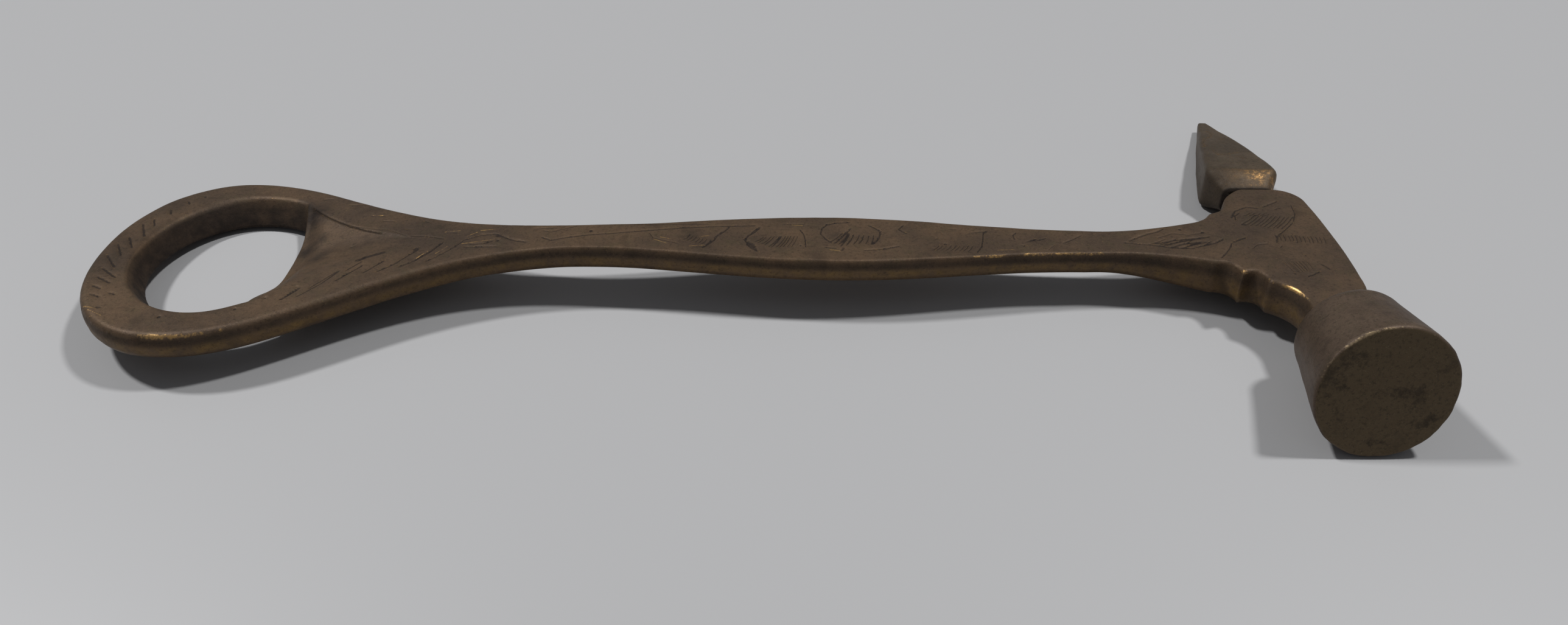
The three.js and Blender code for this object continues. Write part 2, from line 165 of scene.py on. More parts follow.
def bottom_at(x):
    loop_share = smooth((REAR_NECK[0] - x) / (REAR_NECK[0] - centre_x))
    thickness = (HANDLE_THICKNESS + (PLATE_THICKNESS - HANDLE_THICKNESS) * plate_share(x)
                 + (LOOP_THICKNESS - HANDLE_THICKNESS) * loop_share)
    return top_at(x) - thickness


print("loop faces", round(float(top_at(centre_x)), 2), round(float(bottom_at(centre_x)), 2))

# %% [markdown]
# ## The outline in plan
# A caster's pattern is a few fair curves joined at corners. Each stretch is drawn by its own
# formula and then walked at an even step, so the corners between stretches stay crisp, and the
# two ridges between the flutes do too.

# %% Curves of the outline
def line_lengths(line):
    return np.r_[0.0, np.cumsum(np.linalg.norm(np.diff(line, axis=0), axis=1))]


def at_lengths(line, places):
    lengths = line_lengths(line)
    return np.c_[np.interp(places, lengths, line[:, 0]), np.interp(places, lengths, line[:, 1])]


def walk(points, step):
    points = np.asarray(points, float)
    total = line_lengths(points)[-1]
    count = max(1, round(total / step))
    return at_lengths(points, np.linspace(0.0, total, count + 1)[:-1])


def between(start, end, along_share, across_share):
    return np.c_[start[0] + (end[0] - start[0]) * along_share,
                 start[1] + (end[1] - start[1]) * across_share]


def loop_end_curve():
    angle = np.linspace(0.0, np.pi / 2, 160)
    power = 2 / LOOP_BLUNTNESS
    along_share, across_share = np.cos(angle) ** power, np.sin(angle) ** power
    return between((loop_centre_x, 0.0), (loop_end_x, loop_half), along_share, across_share)


def shoulder_curve():
    t = np.linspace(0.0, 1.0, 160)[:, None]
    start = np.array((loop_centre_x, loop_half))
    leave = np.array((loop_centre_x + SHOULDER_SWELL, loop_half))
    arrive = np.array((REAR_NECK[0] - NECK_SWEEP, REAR_NECK[1]))
    end = np.array(REAR_NECK)
    return (start * (1 - t) ** 3 + 3 * leave * t * (1 - t) ** 2
            + 3 * arrive * t ** 2 * (1 - t) + end * t ** 3)


def wave_curve(start, end):
    t = np.linspace(0.0, 1.0, 120)
    return between(start, end, t, np.sin(np.pi / 2 * t) ** 2)


def hollow_curve(start, end, depth):
    start, end = np.array(start, float), np.array(end, float)
    side = np.array((end[1] - start[1], start[0] - end[0]))
    side /= np.linalg.norm(side)
    t = np.linspace(0.0, 1.0, 60)[:, None]
    return start + (end - start) * t + side * (4 * depth * t * (1 - t))


def corner_curve(start, end):
    angle = np.linspace(0.0, np.pi / 2, 40)
    return between(start, end, np.sin(angle), 1 - np.cos(angle))


# %% Join the stretches into one outline
OUTLINE_STEP = 0.5

handle_side = [loop_end_curve(), shoulder_curve(), wave_curve(REAR_NECK, BELLY),
               wave_curve(BELLY, FORE_NECK)]


def flare_with(depths):
    return [hollow_curve(FORE_NECK, FLUTE_START, FLARE_HOLLOW),
            hollow_curve(FLUTE_START, FIRST_RIDGE, depths[0]),
            hollow_curve(FIRST_RIDGE, SECOND_RIDGE, depths[1])]


half_root = -ROOT[0]
tenon_end = HEAD_SIDE + TENON_LENGTH
striker_corner = FRONT_ROOT_REACH - CORNER_ROUND
pick_corner = PICK_SIDE - CORNER_ROUND
striker_side = handle_side + flare_with(FLUTE_DEPTHS) + [
    hollow_curve(SECOND_RIDGE, ROOT, ROOT_HOLLOW),
    [ROOT, (-half_root, tenon_end)],
    [(-half_root, tenon_end), (half_root, tenon_end)],
    [(half_root, tenon_end), (half_root, FRONT_ROOT_REACH)],
    corner_curve((half_root, FRONT_ROOT_REACH), (PLATE_FRONT, striker_corner)),
]
front_corner = corner_curve((PLATE_FRONT - CORNER_ROUND, PICK_SIDE), (PLATE_FRONT, pick_corner))
pick_side = handle_side + flare_with(SOFT_FLUTE_DEPTHS) + [
    hollow_curve(SECOND_RIDGE, PICK_SEAT, -ROOT_HOLLOW),
    [PICK_SEAT, (PLATE_FRONT - CORNER_ROUND, PICK_SIDE)],
]


def bowed_front():
    y = np.linspace(-striker_corner, pick_corner, 60)
    reach = np.where(y < 0, striker_corner, pick_corner)
    return np.c_[PLATE_FRONT + PLATE_FRONT_BOW * (1 - (y / reach) ** 2), y]


mirror = np.array((1.0, -1.0))
stretches = [np.asarray(stretch, float) * mirror for stretch in striker_side]
stretches += [bowed_front(), front_corner[::-1]]
stretches += [stretch[::-1] for stretch in reversed(pick_side)]
outline = np.vstack([walk(stretch, OUTLINE_STEP) for stretch in stretches])
print("outline points", len(outline), "from", outline.min(0).round(1), "to", outline.max(0).round(1))

# %% [markdown]
# ## The opening
# The opening is an oval that a hollow lip cuts off. Its wall leans: it is widest at the upper face,
# where the cap sits, and narrowest below. `level` runs from -0.5 at the lower face to 0.5 at the
# upper face, and both rings have the same number of points, so that a wall can be strung between.

# %% The opening's ring at any level
OVAL_STEPS = 150
LIP_STEPS = 44
CORNER_LIFT = 0.85          # the rim turns in a little before it meets the lip on the striker's side
CORNER_REACH = 5.5


def opening_ring(level):
    half_width = HALF_OPENING + SIDE_DRAFT * level
    towards_end = OPENING_ROUND + END_DRAFT * level
    towards_lip = OPENING_RUN + END_DRAFT * level
    lip_angle = math.acos((LIP_X - centre_x) / towards_lip)
    lip_half = half_width * math.sin(lip_angle)
    angle = np.linspace(lip_angle, 2 * np.pi - lip_angle, OVAL_STEPS, endpoint=False)
    reach = np.where(np.cos(angle) > 0, towards_lip, towards_end)
    oval = np.c_[centre_x + reach * np.cos(angle), OPENING_OFFSET + half_width * np.sin(angle)]
    across = np.linspace(-1.0, 1.0, LIP_STEPS, endpoint=False)
    lip = np.c_[LIP_X + LIP_BOW * (1 - across ** 2), OPENING_OFFSET + lip_half * across]
    ring = np.vstack([oval, lip])
    away = np.hypot(ring[:, 0] - LIP_X, ring[:, 1] - (OPENING_OFFSET - lip_half))
    ring[:, 1] += CORNER_LIFT * bell(away, CORNER_REACH)
    return ring


upper_ring = opening_ring(0.5)
lower_ring = opening_ring(-0.5)
print("opening is", np.ptp(upper_ring[:, 1]).round(1), "wide above and",
      np.ptp(lower_ring[:, 1]).round(1), "below")

# %% [markdown]
# ## Distances in plan
# Roundings, wear and the pocket's walls all depend on how far a point is from some line, and on
# whether it lies inside a ring. Three small functions answer that: the distance to a line, the
# test for inside, and the directions into a ring. The first two work in batches to save memory.

# %% Distance to a line, points inside a ring, and directions into a ring
BATCH = 2000                # how many points are measured at a time
TINY = 1e-12                # keeps a division by nothing away


def distance_to(points, line, closed=True):
    start = np.asarray(line, float)
    end = np.roll(start, -1, axis=0) if closed else start[1:]
    start = start if closed else start[:-1]
    run = end - start
    square = np.maximum((run ** 2).sum(1), TINY)
    best = np.full(len(points), np.inf)
    for first in range(0, len(points), BATCH):
        batch = points[first:first + BATCH, None, :] - start[None]
        t = np.clip((batch * run).sum(2) / square, 0.0, 1.0)
        gap = batch - t[..., None] * run
        best[first:first + BATCH] = np.sqrt((gap ** 2).sum(2).min(1))
    return best


def is_inside(points, ring):
    start, end = ring, np.roll(ring, -1, axis=0)
    rise = np.where(end[:, 1] == start[:, 1], TINY, end[:, 1] - start[:, 1])
    inside = np.zeros(len(points), bool)
    for first in range(0, len(points), BATCH):
        batch = points[first:first + BATCH]
        spans = (start[:, 1] > batch[:, 1:2]) != (end[:, 1] > batch[:, 1:2])
        cross_x = start[:, 0] + (batch[:, 1:2] - start[:, 1]) * (end - start)[:, 0] / rise
        inside[first:first + BATCH] = (spans & (batch[:, :1] < cross_x)).sum(1) % 2 == 1
    return inside


def inward_normals(ring):
    ahead = np.roll(ring, -1, axis=0) - ring
    ahead /= np.linalg.norm(ahead, axis=1)[:, None]
    mean = ahead + np.roll(ahead, 1, axis=0)
    mean /= np.linalg.norm(mean, axis=1)[:, None]
    return np.c_[-mean[:, 1], mean[:, 0]]


# %% [markdown]
# ## The pocket behind the lip
# Behind the opening the web is thinned so that the cap's skirt can slide over the lip. The floor
# rises evenly from the thin lip to the handle's upper face. Each side is a soft bank, steeper near
# the lip, and the far one starts with a small crisp step. The depth is the smaller of what the
# floor and what the sides allow, blended softly.

# %% Depth of the pocket below the upper face
STEEP_BELOW_X = -160.0      # nearer the lip than this the banks grow steeper
STEEPENING = (5.0, 1.6)     # over this distance, up to this much more
STEP_REACH = 4.0            # how far across the web the crisp step fades in
GENTLE_REACH = 1.2          # how far in from its edge the near bank stays gentle
POCKET_BLEND = 1.5
OUTSIDE = -1.0              # stands for any point outside the pocket

pocket_end_x = LIP_X + POCKET_LENGTH
pocket_start = np.abs(upper_ring[0] - (0.0, OPENING_OFFSET))
pocket_side = hollow_curve((LIP_X, pocket_start[1]), (pocket_end_x, POCKET_POINT), POCKET_HOLLOW)
mouth = [(LIP_X - 6.0, pocket_start[1] - 1.0)]
pocket_half = np.vstack([pocket_side[::-1], mouth])
pocket_plan = np.vstack([pocket_half[::-1] * mirror, pocket_half]) + (0.0, OPENING_OFFSET)


def softer_smaller(a, b, softness):
    share = np.clip(0.5 + 0.5 * (b - a) / softness, 0.0, 1.0)
    return b + (a - b) * share - softness * share * (1 - share)


def pocket_depth(points):
    x = points[:, 0]
    lip_floor = bottom_at(LIP_X) + LIP_THICKNESS
    end_floor = top_at(pocket_end_x)
    floor = lip_floor + (end_floor - lip_floor) * (x - LIP_X) / POCKET_LENGTH
    depth = np.maximum(top_at(x) - floor, OUTSIDE)
    near = (x < pocket_end_x + 2) & (x > LIP_X - 8)
    inside = np.full(len(points), OUTSIDE)
    candidates = points[near]
    side = distance_to(candidates, pocket_plan)
    inside[near] = np.where(is_inside(candidates, pocket_plan), side, -side)
    bank = POCKET_BANK * (1.0 + STEEPENING[1] * smooth((STEEP_BELOW_X - x) / STEEPENING[0]))
    far_side = smooth(points[:, 1] / STEP_REACH)
    step = POCKET_STEP * far_side * smooth(inside / POCKET_STEP_WIDTH)
    gentle = inside / (np.abs(inside) + GENTLE_REACH)
    wall = step + bank * np.maximum(inside, 0.0) * (far_side + (1.0 - far_side) * gentle)
    return np.where(inside > 0.0, np.maximum(softer_smaller(depth, wall, POCKET_BLEND), 0.0), 0.0)


print("pocket is", pocket_depth(np.array([(LIP_X + LIP_BOW, 0.5)])).round(2), "deep at the lip")

# %% [markdown]
# ## Chased ornament
# The leaves are cut by hand with a small chisel: a few long outline strokes and fans of short
# hatches, each a tapering groove. Cutting them into the mesh, and not only into a bump map, keeps
# them in the exported model. A stroke has a half width, a depth and the points of its line; a fan
# has the same two sizes, a number of hatches, and its first and last hatch. The hatches between
# wander a little, as a hand does, and dirt settles between them.

# %% Strokes and fans of strokes
LEAF_DIRT = 0.42            # how dark the dirt between a leaf's hatches is
LEAST_DIRT = 1.6            # the smallest reach of that dirt
SCATTER = 0.25
UNEVEN = 0.4                # by how much hatches differ in width and depth
HATCH_BOW = np.array((0.12, -0.08))
HATCH_SEED = 1795674051     # any number; with none, the hatches would lie a little differently each run

noise.seed_set(HATCH_SEED)
strokes = []
leaf_stains = []


def stroke(half_width, depth, *points):
    strokes.append((np.array(points, float), half_width, depth))


def fan(half_width, depth, count, first, last):
    first, last = np.array(first, float), np.array(last, float)
    reach = max(LEAST_DIRT, 0.6 * np.linalg.norm(last.mean(0) - first.mean(0)))
    for share in (0.2, 0.8):
        leaf_stains.append((*(first + (last - first) * share).mean(0), reach, LEAF_DIRT))
    for i in range(count):
        shift = SCATTER * noise.noise_vector(Vector((*first[0], 3.1 * i)))
        points = first + (last - first) * (i / max(1, count - 1)) + np.array(shift)[:2]
        vary = 1.0 + UNEVEN * noise.noise(Vector((*first[0], 1.7 * i)))
        stroke(half_width * vary, depth * vary, points[0], points.mean(0) + HATCH_BOW, points[1])

# %% Ticks round the loop's end
for start, end in [
    ((-189.2, 10.5), (-188.2, 7.8)), ((-190.5, 8.9), (-188.4, 4.4)), ((-190.9, 4.6), (-188.9, 0.8)),
    ((-191.8, 2.3), (-189.6, -1.7)), ((-192.1, -1.2), (-189.1, -5.1)), ((-191.2, -5.1), (-187.6, -8.1)),
    ((-190.9, -7.6), (-187.8, -9.7)), ((-190.7, -10.1), (-188.5, -11.3)), ((-187.3, -12.2), (-185.5, -12.9)),
    ((-189.8, -12.6), (-187.6, -13.6)), ((-187.6, -16.0), (-186.2, -16.5)), ((-187.8, 13.9), (-187.0, 11.7)),
    ((-185.9, 16.7), (-185.1, 15.3)), ((-184.0, 18.9), (-183.3, 17.6)),
]:
    stroke(0.4, 0.15, start, end)


# %% Strokes on the shoulder and the web
for start, end in [
    ((-163.4, 17.2), (-160.9, 17.3)), ((-158.2, 14.9), (-153.6, 14.4)), ((-153.2, 10.6), (-152.1, 10.5)),
    ((-151.4, 10.4), (-150.0, 10.1)), ((-150.7, 8.6), (-147.9, 8.0)), ((-143.4, 7.6), (-142.0, 7.0)),
    ((-154.6, 2.6), (-153.6, 2.8)), ((-144.6, 2.9), (-141.8, 2.4)), ((-142.1, 2.6), (-138.2, 1.0)),
    ((-146.0, 5.2), (-144.4, 4.9)), ((-138.9, 3.2), (-136.4, 2.9)),
]:
    stroke(0.2, 0.13, start, end)

stroke(0.42, 0.25, (-160.4, -14.4), (-158.2, -11.0))
stroke(0.28, 0.12, (-158.2, -13.9), (-155.2, -10.2), (-153.2, -6.5))
stroke(0.25, 0.1, (-157.0, -11.8), (-153.4, -6.4))
stroke(0.35, 0.22, (-153.4, -9.8), (-151.4, -7.1), (-150.0, -5.3))
stroke(0.32, 0.18, (-149.5, -7.8), (-146.8, -4.2))
stroke(0.75, 0.24, (-151.3, -3.6), (-150.2, -2.5), (-147.8, -1.6))
stroke(0.16, 0.07, (-156.3, 8.0), (-152.6, 6.4), (-148.7, 5.4), (-144.5, 2.6))
stroke(0.3, 0.1, (-152.6, -7.1), (-151.5, -5.6), (-150.2, -3.9))
stroke(0.5, 0.24, (-142.9, -1.7), (-142.1, -1.1))
stroke(0.45, 0.22, (-130.1, 0.7), (-129.2, 1.3))
stroke(0.4, 0.2, (-131.5, -0.9), (-130.2, -0.5))
stroke(0.2, 0.12, (-122.9, 2.0), (-121.2, 1.4), (-119.0, 2.3), (-116.9, 3.2))
stroke(0.35, 0.26, (-147.3, -7.6), (-145.0, -5.6), (-143.6, -3.5), (-142.0, -1.5))
stroke(0.35, 0.26, (-144.1, -6.7), (-141.8, -4.9), (-140.0, -2.6), (-138.4, 0.25))
stroke(0.3, 0.25, (-140.0, -5.6), (-137.9, -3.5), (-136.4, -1.7), (-135.2, 0.4))
stroke(0.3, 0.22, (-135.0, 0.4), (-132.5, 1.7), (-130.2, 1.6), (-127.1, -0.6), (-124.6, -1.5))
stroke(0.3, 0.25, (-134.8, -1.9), (-131.0, -2.2), (-129.0, -2.4))
stroke(0.22, 0.16, (-134.3, -1.0), (-130.9, -1.2))


# %% The long curved stem beside the belly
stroke(0.3, 0.17, (-122.7, -0.1), (-120.9, -1.2), (-118.9, -0.6), (-115.0, 0.25), (-112.0, 0.6),
       (-105.0, 1.9), (-100.2, 2.7), (-95.0, 3.2), (-88.0, 3.8))
stroke(0.18, 0.1, (-124.6, 2.6), (-120.0, 2.6))
stroke(0.18, 0.1, (-109.0, 3.5), (-102.0, 3.75), (-95.5, 4.0))


# %% Five leaves along the handle
stroke(0.35, 0.22, (-92.4, 3.3), (-93.2, 1.9), (-94.4, 0.3), (-94.9, -1.1), (-96.0, -2.6), (-96.7, -3.5))
stroke(0.2, 0.1, (-105.5, 1.3), (-104.6, -0.6), (-100.2, -2.3))
fan(0.2, 0.16, 7, ((-99.9, -1.2), (-98.7, 0.5)), ((-96.2, -2.6), (-95.4, -0.8)))

stroke(0.42, 0.22, (-87.4, 3.4), (-88.5, 1.6), (-89.4, 0.5), (-89.9, -0.7), (-89.2, -2.8), (-87.7, -4.4))
stroke(0.6, 0.24, (-89.1, -1.6), (-88.2, -3.2))
stroke(0.22, 0.14, (-83.9, 4.4), (-80.0, 4.3))
stroke(0.28, 0.16, (-81.1, 2.8), (-80.4, 1.1), (-80.2, -0.7), (-80.2, -3.1))
fan(0.2, 0.16, 5, ((-88.4, -1.5), (-86.8, 0.3)), ((-86.3, -2.9), (-84.4, 0.6)))
fan(0.18, 0.18, 6, ((-85.7, -3.1), (-83.9, 0.6)), ((-82.6, -3.1), (-81.4, 0.7)))

stroke(0.35, 0.22, (-72.6, 5.2), (-74.9, 5.0), (-76.6, 4.3), (-77.4, 3.0), (-77.7, 1.4), (-77.0, -0.1),
       (-76.0, -1.6))
stroke(0.35, 0.22, (-69.9, 4.4), (-68.8, 3.6), (-67.9, 2.2), (-68.2, 0.5), (-68.9, -1.0), (-69.6, -1.9))
fan(0.28, 0.24, 3, ((-76.3, -1.3), (-74.1, 1.8)), ((-75.0, -2.1), (-73.1, 1.6)))
stroke(0.3, 0.24, (-75.5, -1.6), (-73.6, 1.5), (-72.6, 3.3))
fan(0.25, 0.24, 4, ((-74.6, -2.6), (-72.9, 1.5)), ((-71.6, -1.7), (-70.6, 1.1)))
fan(0.26, 0.24, 2, ((-70.6, -1.7), (-69.9, 1.1)), ((-69.6, -1.9), (-68.9, 1.2)))
stroke(0.25, 0.16, (-77.4, -2.8), (-75.2, -3.2))
stroke(0.35, 0.25, (-74.6, -3.9), (-74.1, -2.8))
stroke(0.28, 0.2, (-71.1, -3.7), (-67.9, -3.2), (-64.9, -2.2))

stroke(0.35, 0.18, (-63.8, 4.6), (-64.9, 3.1), (-63.5, 1.6))
fan(0.18, 0.1, 9, ((-60.3, -3.6), (-58.7, -1.6)), ((-54.6, -3.8), (-53.2, -1.4)))
stroke(0.25, 0.2, (-59.4, 0.0), (-58.4, 0.4))
stroke(0.32, 0.18, (-50.2, 2.9), (-51.1, 2.2), (-51.5, -0.2), (-51.9, -1.9), (-53.0, -4.0))
stroke(0.25, 0.18, (-53.6, 2.2), (-50.2, 2.9))
stroke(0.22, 0.12, (-56.9, 3.2), (-55.0, 3.4))

stroke(0.3, 0.16, (-45.5, 2.6), (-46.4, 1.6), (-46.2, 0.1))
stroke(0.3, 0.24, (-45.5, -1.6), (-44.7, -1.5))
fan(0.18, 0.11, 6, ((-44.9, -0.6), (-43.3, 0.6)), ((-42.3, 0.0), (-40.9, 1.0)))
stroke(0.28, 0.15, (-38.7, -0.8), (-36.9, 0.4), (-34.9, 2.0))
stroke(0.2, 0.08, (-41.6, -3.1), (-39.6, -0.8))


# %% The pointed leaf where the handle widens
stroke(0.3, 0.22, (-27.8, 0.1), (-25.5, 1.6), (-24.0, 2.4), (-22.3, 3.0), (-21.0, 4.0))
stroke(0.28, 0.2, (-28.8, -0.25), (-26.5, -0.75), (-23.8, -1.25), (-21.5, -2.0), (-19.5, -2.25),
       (-17.5, -2.25))
stroke(0.25, 0.17, (-23.8, -0.75), (-20.0, 0.25), (-15.3, 1.1))
stroke(0.3, 0.2, (-22.5, -1.25), (-19.5, -0.25), (-14.0, 1.4))
stroke(0.3, 0.2, (-21.5, -2.0), (-19.3, -1.0), (-16.0, -0.25))
stroke(0.32, 0.22, (-19.8, -2.25), (-18.0, -1.25), (-15.0, -0.25))
stroke(0.28, 0.16, (-17.6, -2.0), (-15.2, -1.2))
stroke(0.34, 0.2, (-16.0, -1.5), (-13.8, -0.6), (-12.0, 0.75))
stroke(0.2, 0.1, (-23.1, 0.8), (-20.1, 2.3), (-17.6, 1.8), (-14.3, 2.6))
fan(0.16, 0.11, 6, ((-24.6, -0.9), (-21.2, 0.9)), ((-17.2, -2.0), (-14.2, 0.2)))


# %% Leaves on the head plate
stroke(0.3, 0.17, (-14.4, -5.3), (-13.3, -4.1), (-12.0, -2.2), (-11.1, -0.5))
stroke(0.42, 0.12, (-11.1, -0.5), (-9.5, 0.5), (-8.0, 1.4))
stroke(0.2, 0.12, (-8.5, -2.5), (-7.1, -1.0), (-4.9, -0.6))
stroke(0.22, 0.1, (-2.9, -0.9), (-3.9, -2.2))
stroke(0.42, 0.12, (-8.9, 7.4), (-7.4, 9.9), (-5.0, 11.4), (-2.8, 11.0))
stroke(0.3, 0.1, (-8.4, 6.4), (-7.9, 8.2), (-6.6, 9.6))
stroke(0.26, 0.18, (-2.3, 11.4), (1.2, 13.7))
stroke(0.32, 0.12, (-0.7, 10.5), (1.1, 11.4))
stroke(0.24, 0.14, (3.0, 12.6), (2.8, 10.8), (2.6, 9.3), (2.0, 7.9), (1.3, 6.4))
stroke(0.28, 0.15, (1.3, 6.4), (-0.9, 3.9), (-2.9, 1.8), (-3.8, -0.5))
fan(0.18, 0.16, 10, ((-7.8, 5.3), (-4.3, 8.7)), ((-1.5, 4.1), (2.0, 8.4)))
fan(0.18, 0.1, 5, ((-6.6, 8.2), (-4.6, 9.7)), ((-3.2, 8.2), (-1.4, 9.5)))
fan(0.18, 0.12, 13, ((-3.1, 2.6), (-3.4, 0.2)), ((4.6, 2.0), (4.2, -0.7)))
fan(0.16, 0.09, 8, ((-5.0, -5.9), (-4.0, -9.8)), ((-1.1, -5.4), (-0.8, -8.8)))
stroke(0.3, 0.12, (-0.7, -3.6), (0.0, -4.5))
stroke(0.34, 0.12, (0.9, -6.4), (1.6, -7.4), (2.1, -8.5))
stroke(0.34, 0.14, (-2.6, -10.6), (-1.2, -9.9), (0.3, -8.8))


# %% Casting pits, each with its place and radius
PIT_DEPTH = 0.25
pits = [
    (-176.9, -18.6, 0.45), (-166.4, -16.5, 0.4), (-162.8, -13.6, 0.28), (-158.9, -10.8, 0.25),
    (-129.5, -0.5, 0.38), (-114.8, 1.5, 0.45), (-57.7, -1.4, 0.4), (-18.5, 3.6, 0.45), (-15.0, 2.8, 0.38),
    (-7.2, 5.5, 0.4), (-0.4, -0.1, 0.28), (-61.6, 4.1, 0.25), (-45.1, -1.6, 0.3), (-98.9, 0.4, 0.3),
    (-82.0, -2.7, 0.2), (-81.0, -2.4, 0.3), (-4.1, -9.8, 0.22), (-18.0, 4.2, 0.2),
]
print("strokes", len(strokes), "pits", len(pits))

# %% The dark line along the pocket's far step
far_step = pocket_side[4:40:3] + (0.0, OPENING_OFFSET - 0.12)
stroke(0.2, 0.08, *far_step)


# %% Bright scratches
SCRATCH_HALF_WIDTH = 0.14
SCRATCHES = [
    ((-189.8, -15.6), (-187.0, -16.6)), ((-188.2, -16.8), (-185.5, -18.4)),
    ((-188.7, -18.0), (-186.9, -18.4)), ((-135.2, -0.8), (-132.0, -0.4)),
    ((-132.0, -0.35), (-129.2, 0.1)), ((-138.9, 3.4), (-136.3, 3.5)),
    ((-142.3, 2.2), (-140.3, 1.9)), ((-135.0, 1.4), (-133.4, 2.6)), ((-132.8, 3.1), (-130.5, 3.1)),
    ((-141.9, -4.6), (-140.4, -2.4)), ((-138.9, -3.3), (-137.4, -1.3)), ((-152.6, 10.7), (-150.9, 10.5)),
    ((-104.6, -0.9), (-102.4, -2.2)), ((-103.5, -0.3), (-101.8, -0.8)), ((-98.6, -3.0), (-96.0, -2.6)),
    ((-97.2, -0.1), (-95.5, 0.3)), ((-70.6, -3.5), (-67.6, -3.1)), ((-66.6, -2.8), (-64.9, -2.3)),
    ((-76.3, -3.7), (-74.4, -4.0)), ((-83.4, 4.1), (-80.6, 3.9)), ((-49.6, -3.1), (-46.8, -2.9)),
]
print("scratches", len(SCRATCHES))

# %% [markdown]
# ## Groove depth at any point
# A groove is a V that tapers to nothing at its two ends. The deepest of all grooves and pits wins
# at each point. The same value later darkens the material, because dirt stays in the grooves.

# %% Depth of the ornament
TAPER = 0.6                 # a groove reaches its full depth this far from its ends
END_SHARE = 0.25            # how much of the depth is left at the very end
RIM_CLEAR = 0.3             # no groove comes nearer to the opening than this
RIM_FADE = 0.5


def groove_depth(points):
    depth = np.zeros(len(points))
    for line, half_width, full_depth in strokes:
        low, high = line.min(0) - half_width, line.max(0) + half_width
        near = np.flatnonzero(((points > low) & (points < high)).all(1))
        if len(near) == 0:
            continue
        candidates = points[near]
        side = distance_to(candidates, line, closed=False)
        ends = np.minimum(*(np.linalg.norm(candidates - end, axis=1) for end in (line[0], line[-1])))
        taper = END_SHARE + (1 - END_SHARE) * smooth(ends / TAPER)
        cut = full_depth * taper * np.clip(1 - side / half_width, 0.0, 1.0)
        depth[near] = np.maximum(depth[near], cut)
    for x, y, radius in pits:
        away = np.hypot(points[:, 0] - x, points[:, 1] - y)
        depth = np.maximum(depth, PIT_DEPTH * np.clip(1 - (away / radius) ** 2, 0.0, 1.0))
    return depth * smooth((distance_to(points, upper_ring) - RIM_CLEAR) / RIM_FADE)

# %% [markdown]
# ## Points for the upper face
# The upper face needs dense points only where something happens: along its edges, along both
# shoulders and the bottom of each groove, and round each pit. Elsewhere an even honeycomb is
# enough. The most important points are placed first, and a later point that comes too near to one
# already placed is dropped.

# %% Gather points in order of importance
LEAST_GAP = 0.13
JITTER = 0.12               # how far honeycomb points stray, as a share of their step
EDGE_ROUND = 0.55           # radius of the edge along the handle
ROUNDER_LOOP = (0.55, -118.0, 30.0)     # added radius, where it starts and the run it takes
ROUNDER_PLATE = (0.15, -30.0, 14.0)
random = np.random.default_rng(7)


def edge_round_at(x):
    more, start, run = ROUNDER_LOOP
    radius = EDGE_ROUND + more * smooth((start - x) / run)
    more, start, run = ROUNDER_PLATE
    return radius + more * smooth((x - start) / run)


def honeycomb(low, high, step):
    rows = np.arange(low[1], high[1], step * math.sqrt(0.75))
    columns = np.arange(low[0], high[0], step)
    x, y = np.meshgrid(columns, rows)
    x = x + (np.arange(len(rows)) % 2)[:, None] * step / 2
    jitter = random.uniform(-JITTER, JITTER, (x.size, 2)) * step
    return np.c_[x.ravel(), y.ravel()] + jitter


def points_along(line, half_width):
    total = line_lengths(line)[-1]
    count = max(3, round(total / min(0.45, 1.1 * half_width)))
    middle = at_lengths(line, np.linspace(0.0, total, count))
    ahead = np.gradient(middle, axis=0)
    ahead /= np.linalg.norm(ahead, axis=1)[:, None]
    side = np.c_[-ahead[:, 1], ahead[:, 0]] * half_width
    return [middle, np.vstack([middle + side, middle - side])]


def thin_out(groups, gap):
    taken = {}
    kept = []
    for group in groups:
        for x, y in group:
            cell_x, cell_y = int(x // gap), int(y // gap)
            crowded = any(
                (x - px) ** 2 + (y - py) ** 2 < gap * gap
                for i in (-1, 0, 1) for j in (-1, 0, 1)
                for px, py in taken.get((cell_x + i, cell_y + j), ())
            )
            if not crowded:
                taken.setdefault((cell_x, cell_y), []).append((x, y))
                kept.append((x, y))
    return np.array(kept)


# %% [markdown]
# ## Triangles between rings
# A Delaunay triangulation joins scattered points into well-shaped triangles. The outline and the
# opening are given as fixed edges, and the triangles outside the metal are thrown away.

# %% Triangulate a face between an outline and a hole
def triangulate(ring, hole, inner):
    places = np.vstack([ring, hole, inner])
    edges = []
    for first, count in ((0, len(ring)), (len(ring), len(hole))):
        edges += [(first + i, first + (i + 1) % count) for i in range(count)]
    result = delaunay_2d_cdt([Vector(p) for p in places], edges, [], 0, 1e-7, False)
    triangles = np.array(result[2])
    middles = places[triangles].mean(1)
    good = is_inside(middles, ring) & ~is_inside(middles, hole)
    triangles = triangles[good]
    a, b, c = (places[triangles[:, k]] for k in range(3))
    area = (b[:, 0] - a[:, 0]) * (c[:, 1] - a[:, 1]) - (b[:, 1] - a[:, 1]) * (c[:, 0] - a[:, 0])
    triangles[area < 0] = triangles[area < 0][:, ::-1]
    return places, triangles[np.abs(area) > 1e-9], len(result[0]) == len(places)


# %% Lay out the upper face
RING_SHARES = 1 - np.cos(np.radians((18.0, 36.0, 54.0, 72.0, 90.0)))
RING_GAP = 0.02             # how near an edge the rings of its rounding may come
INNER_GAP = 0.16            # and how near all other points may come
UPPER_STEP = 0.5            # step of the honeycomb
LEAST_RIM_ROUND = 0.4       # radius of the opening's rim on the striker's side
FAR_RIM_ROUND = 0.75        # added on the pick's side
LESS_NEAR_LIP = 0.45        # and taken away from that near the lip
LOWER_RIM_ROUND = 0.6

ring_normals = inward_normals(outline)
rounding = edge_round_at(outline[:, 0])


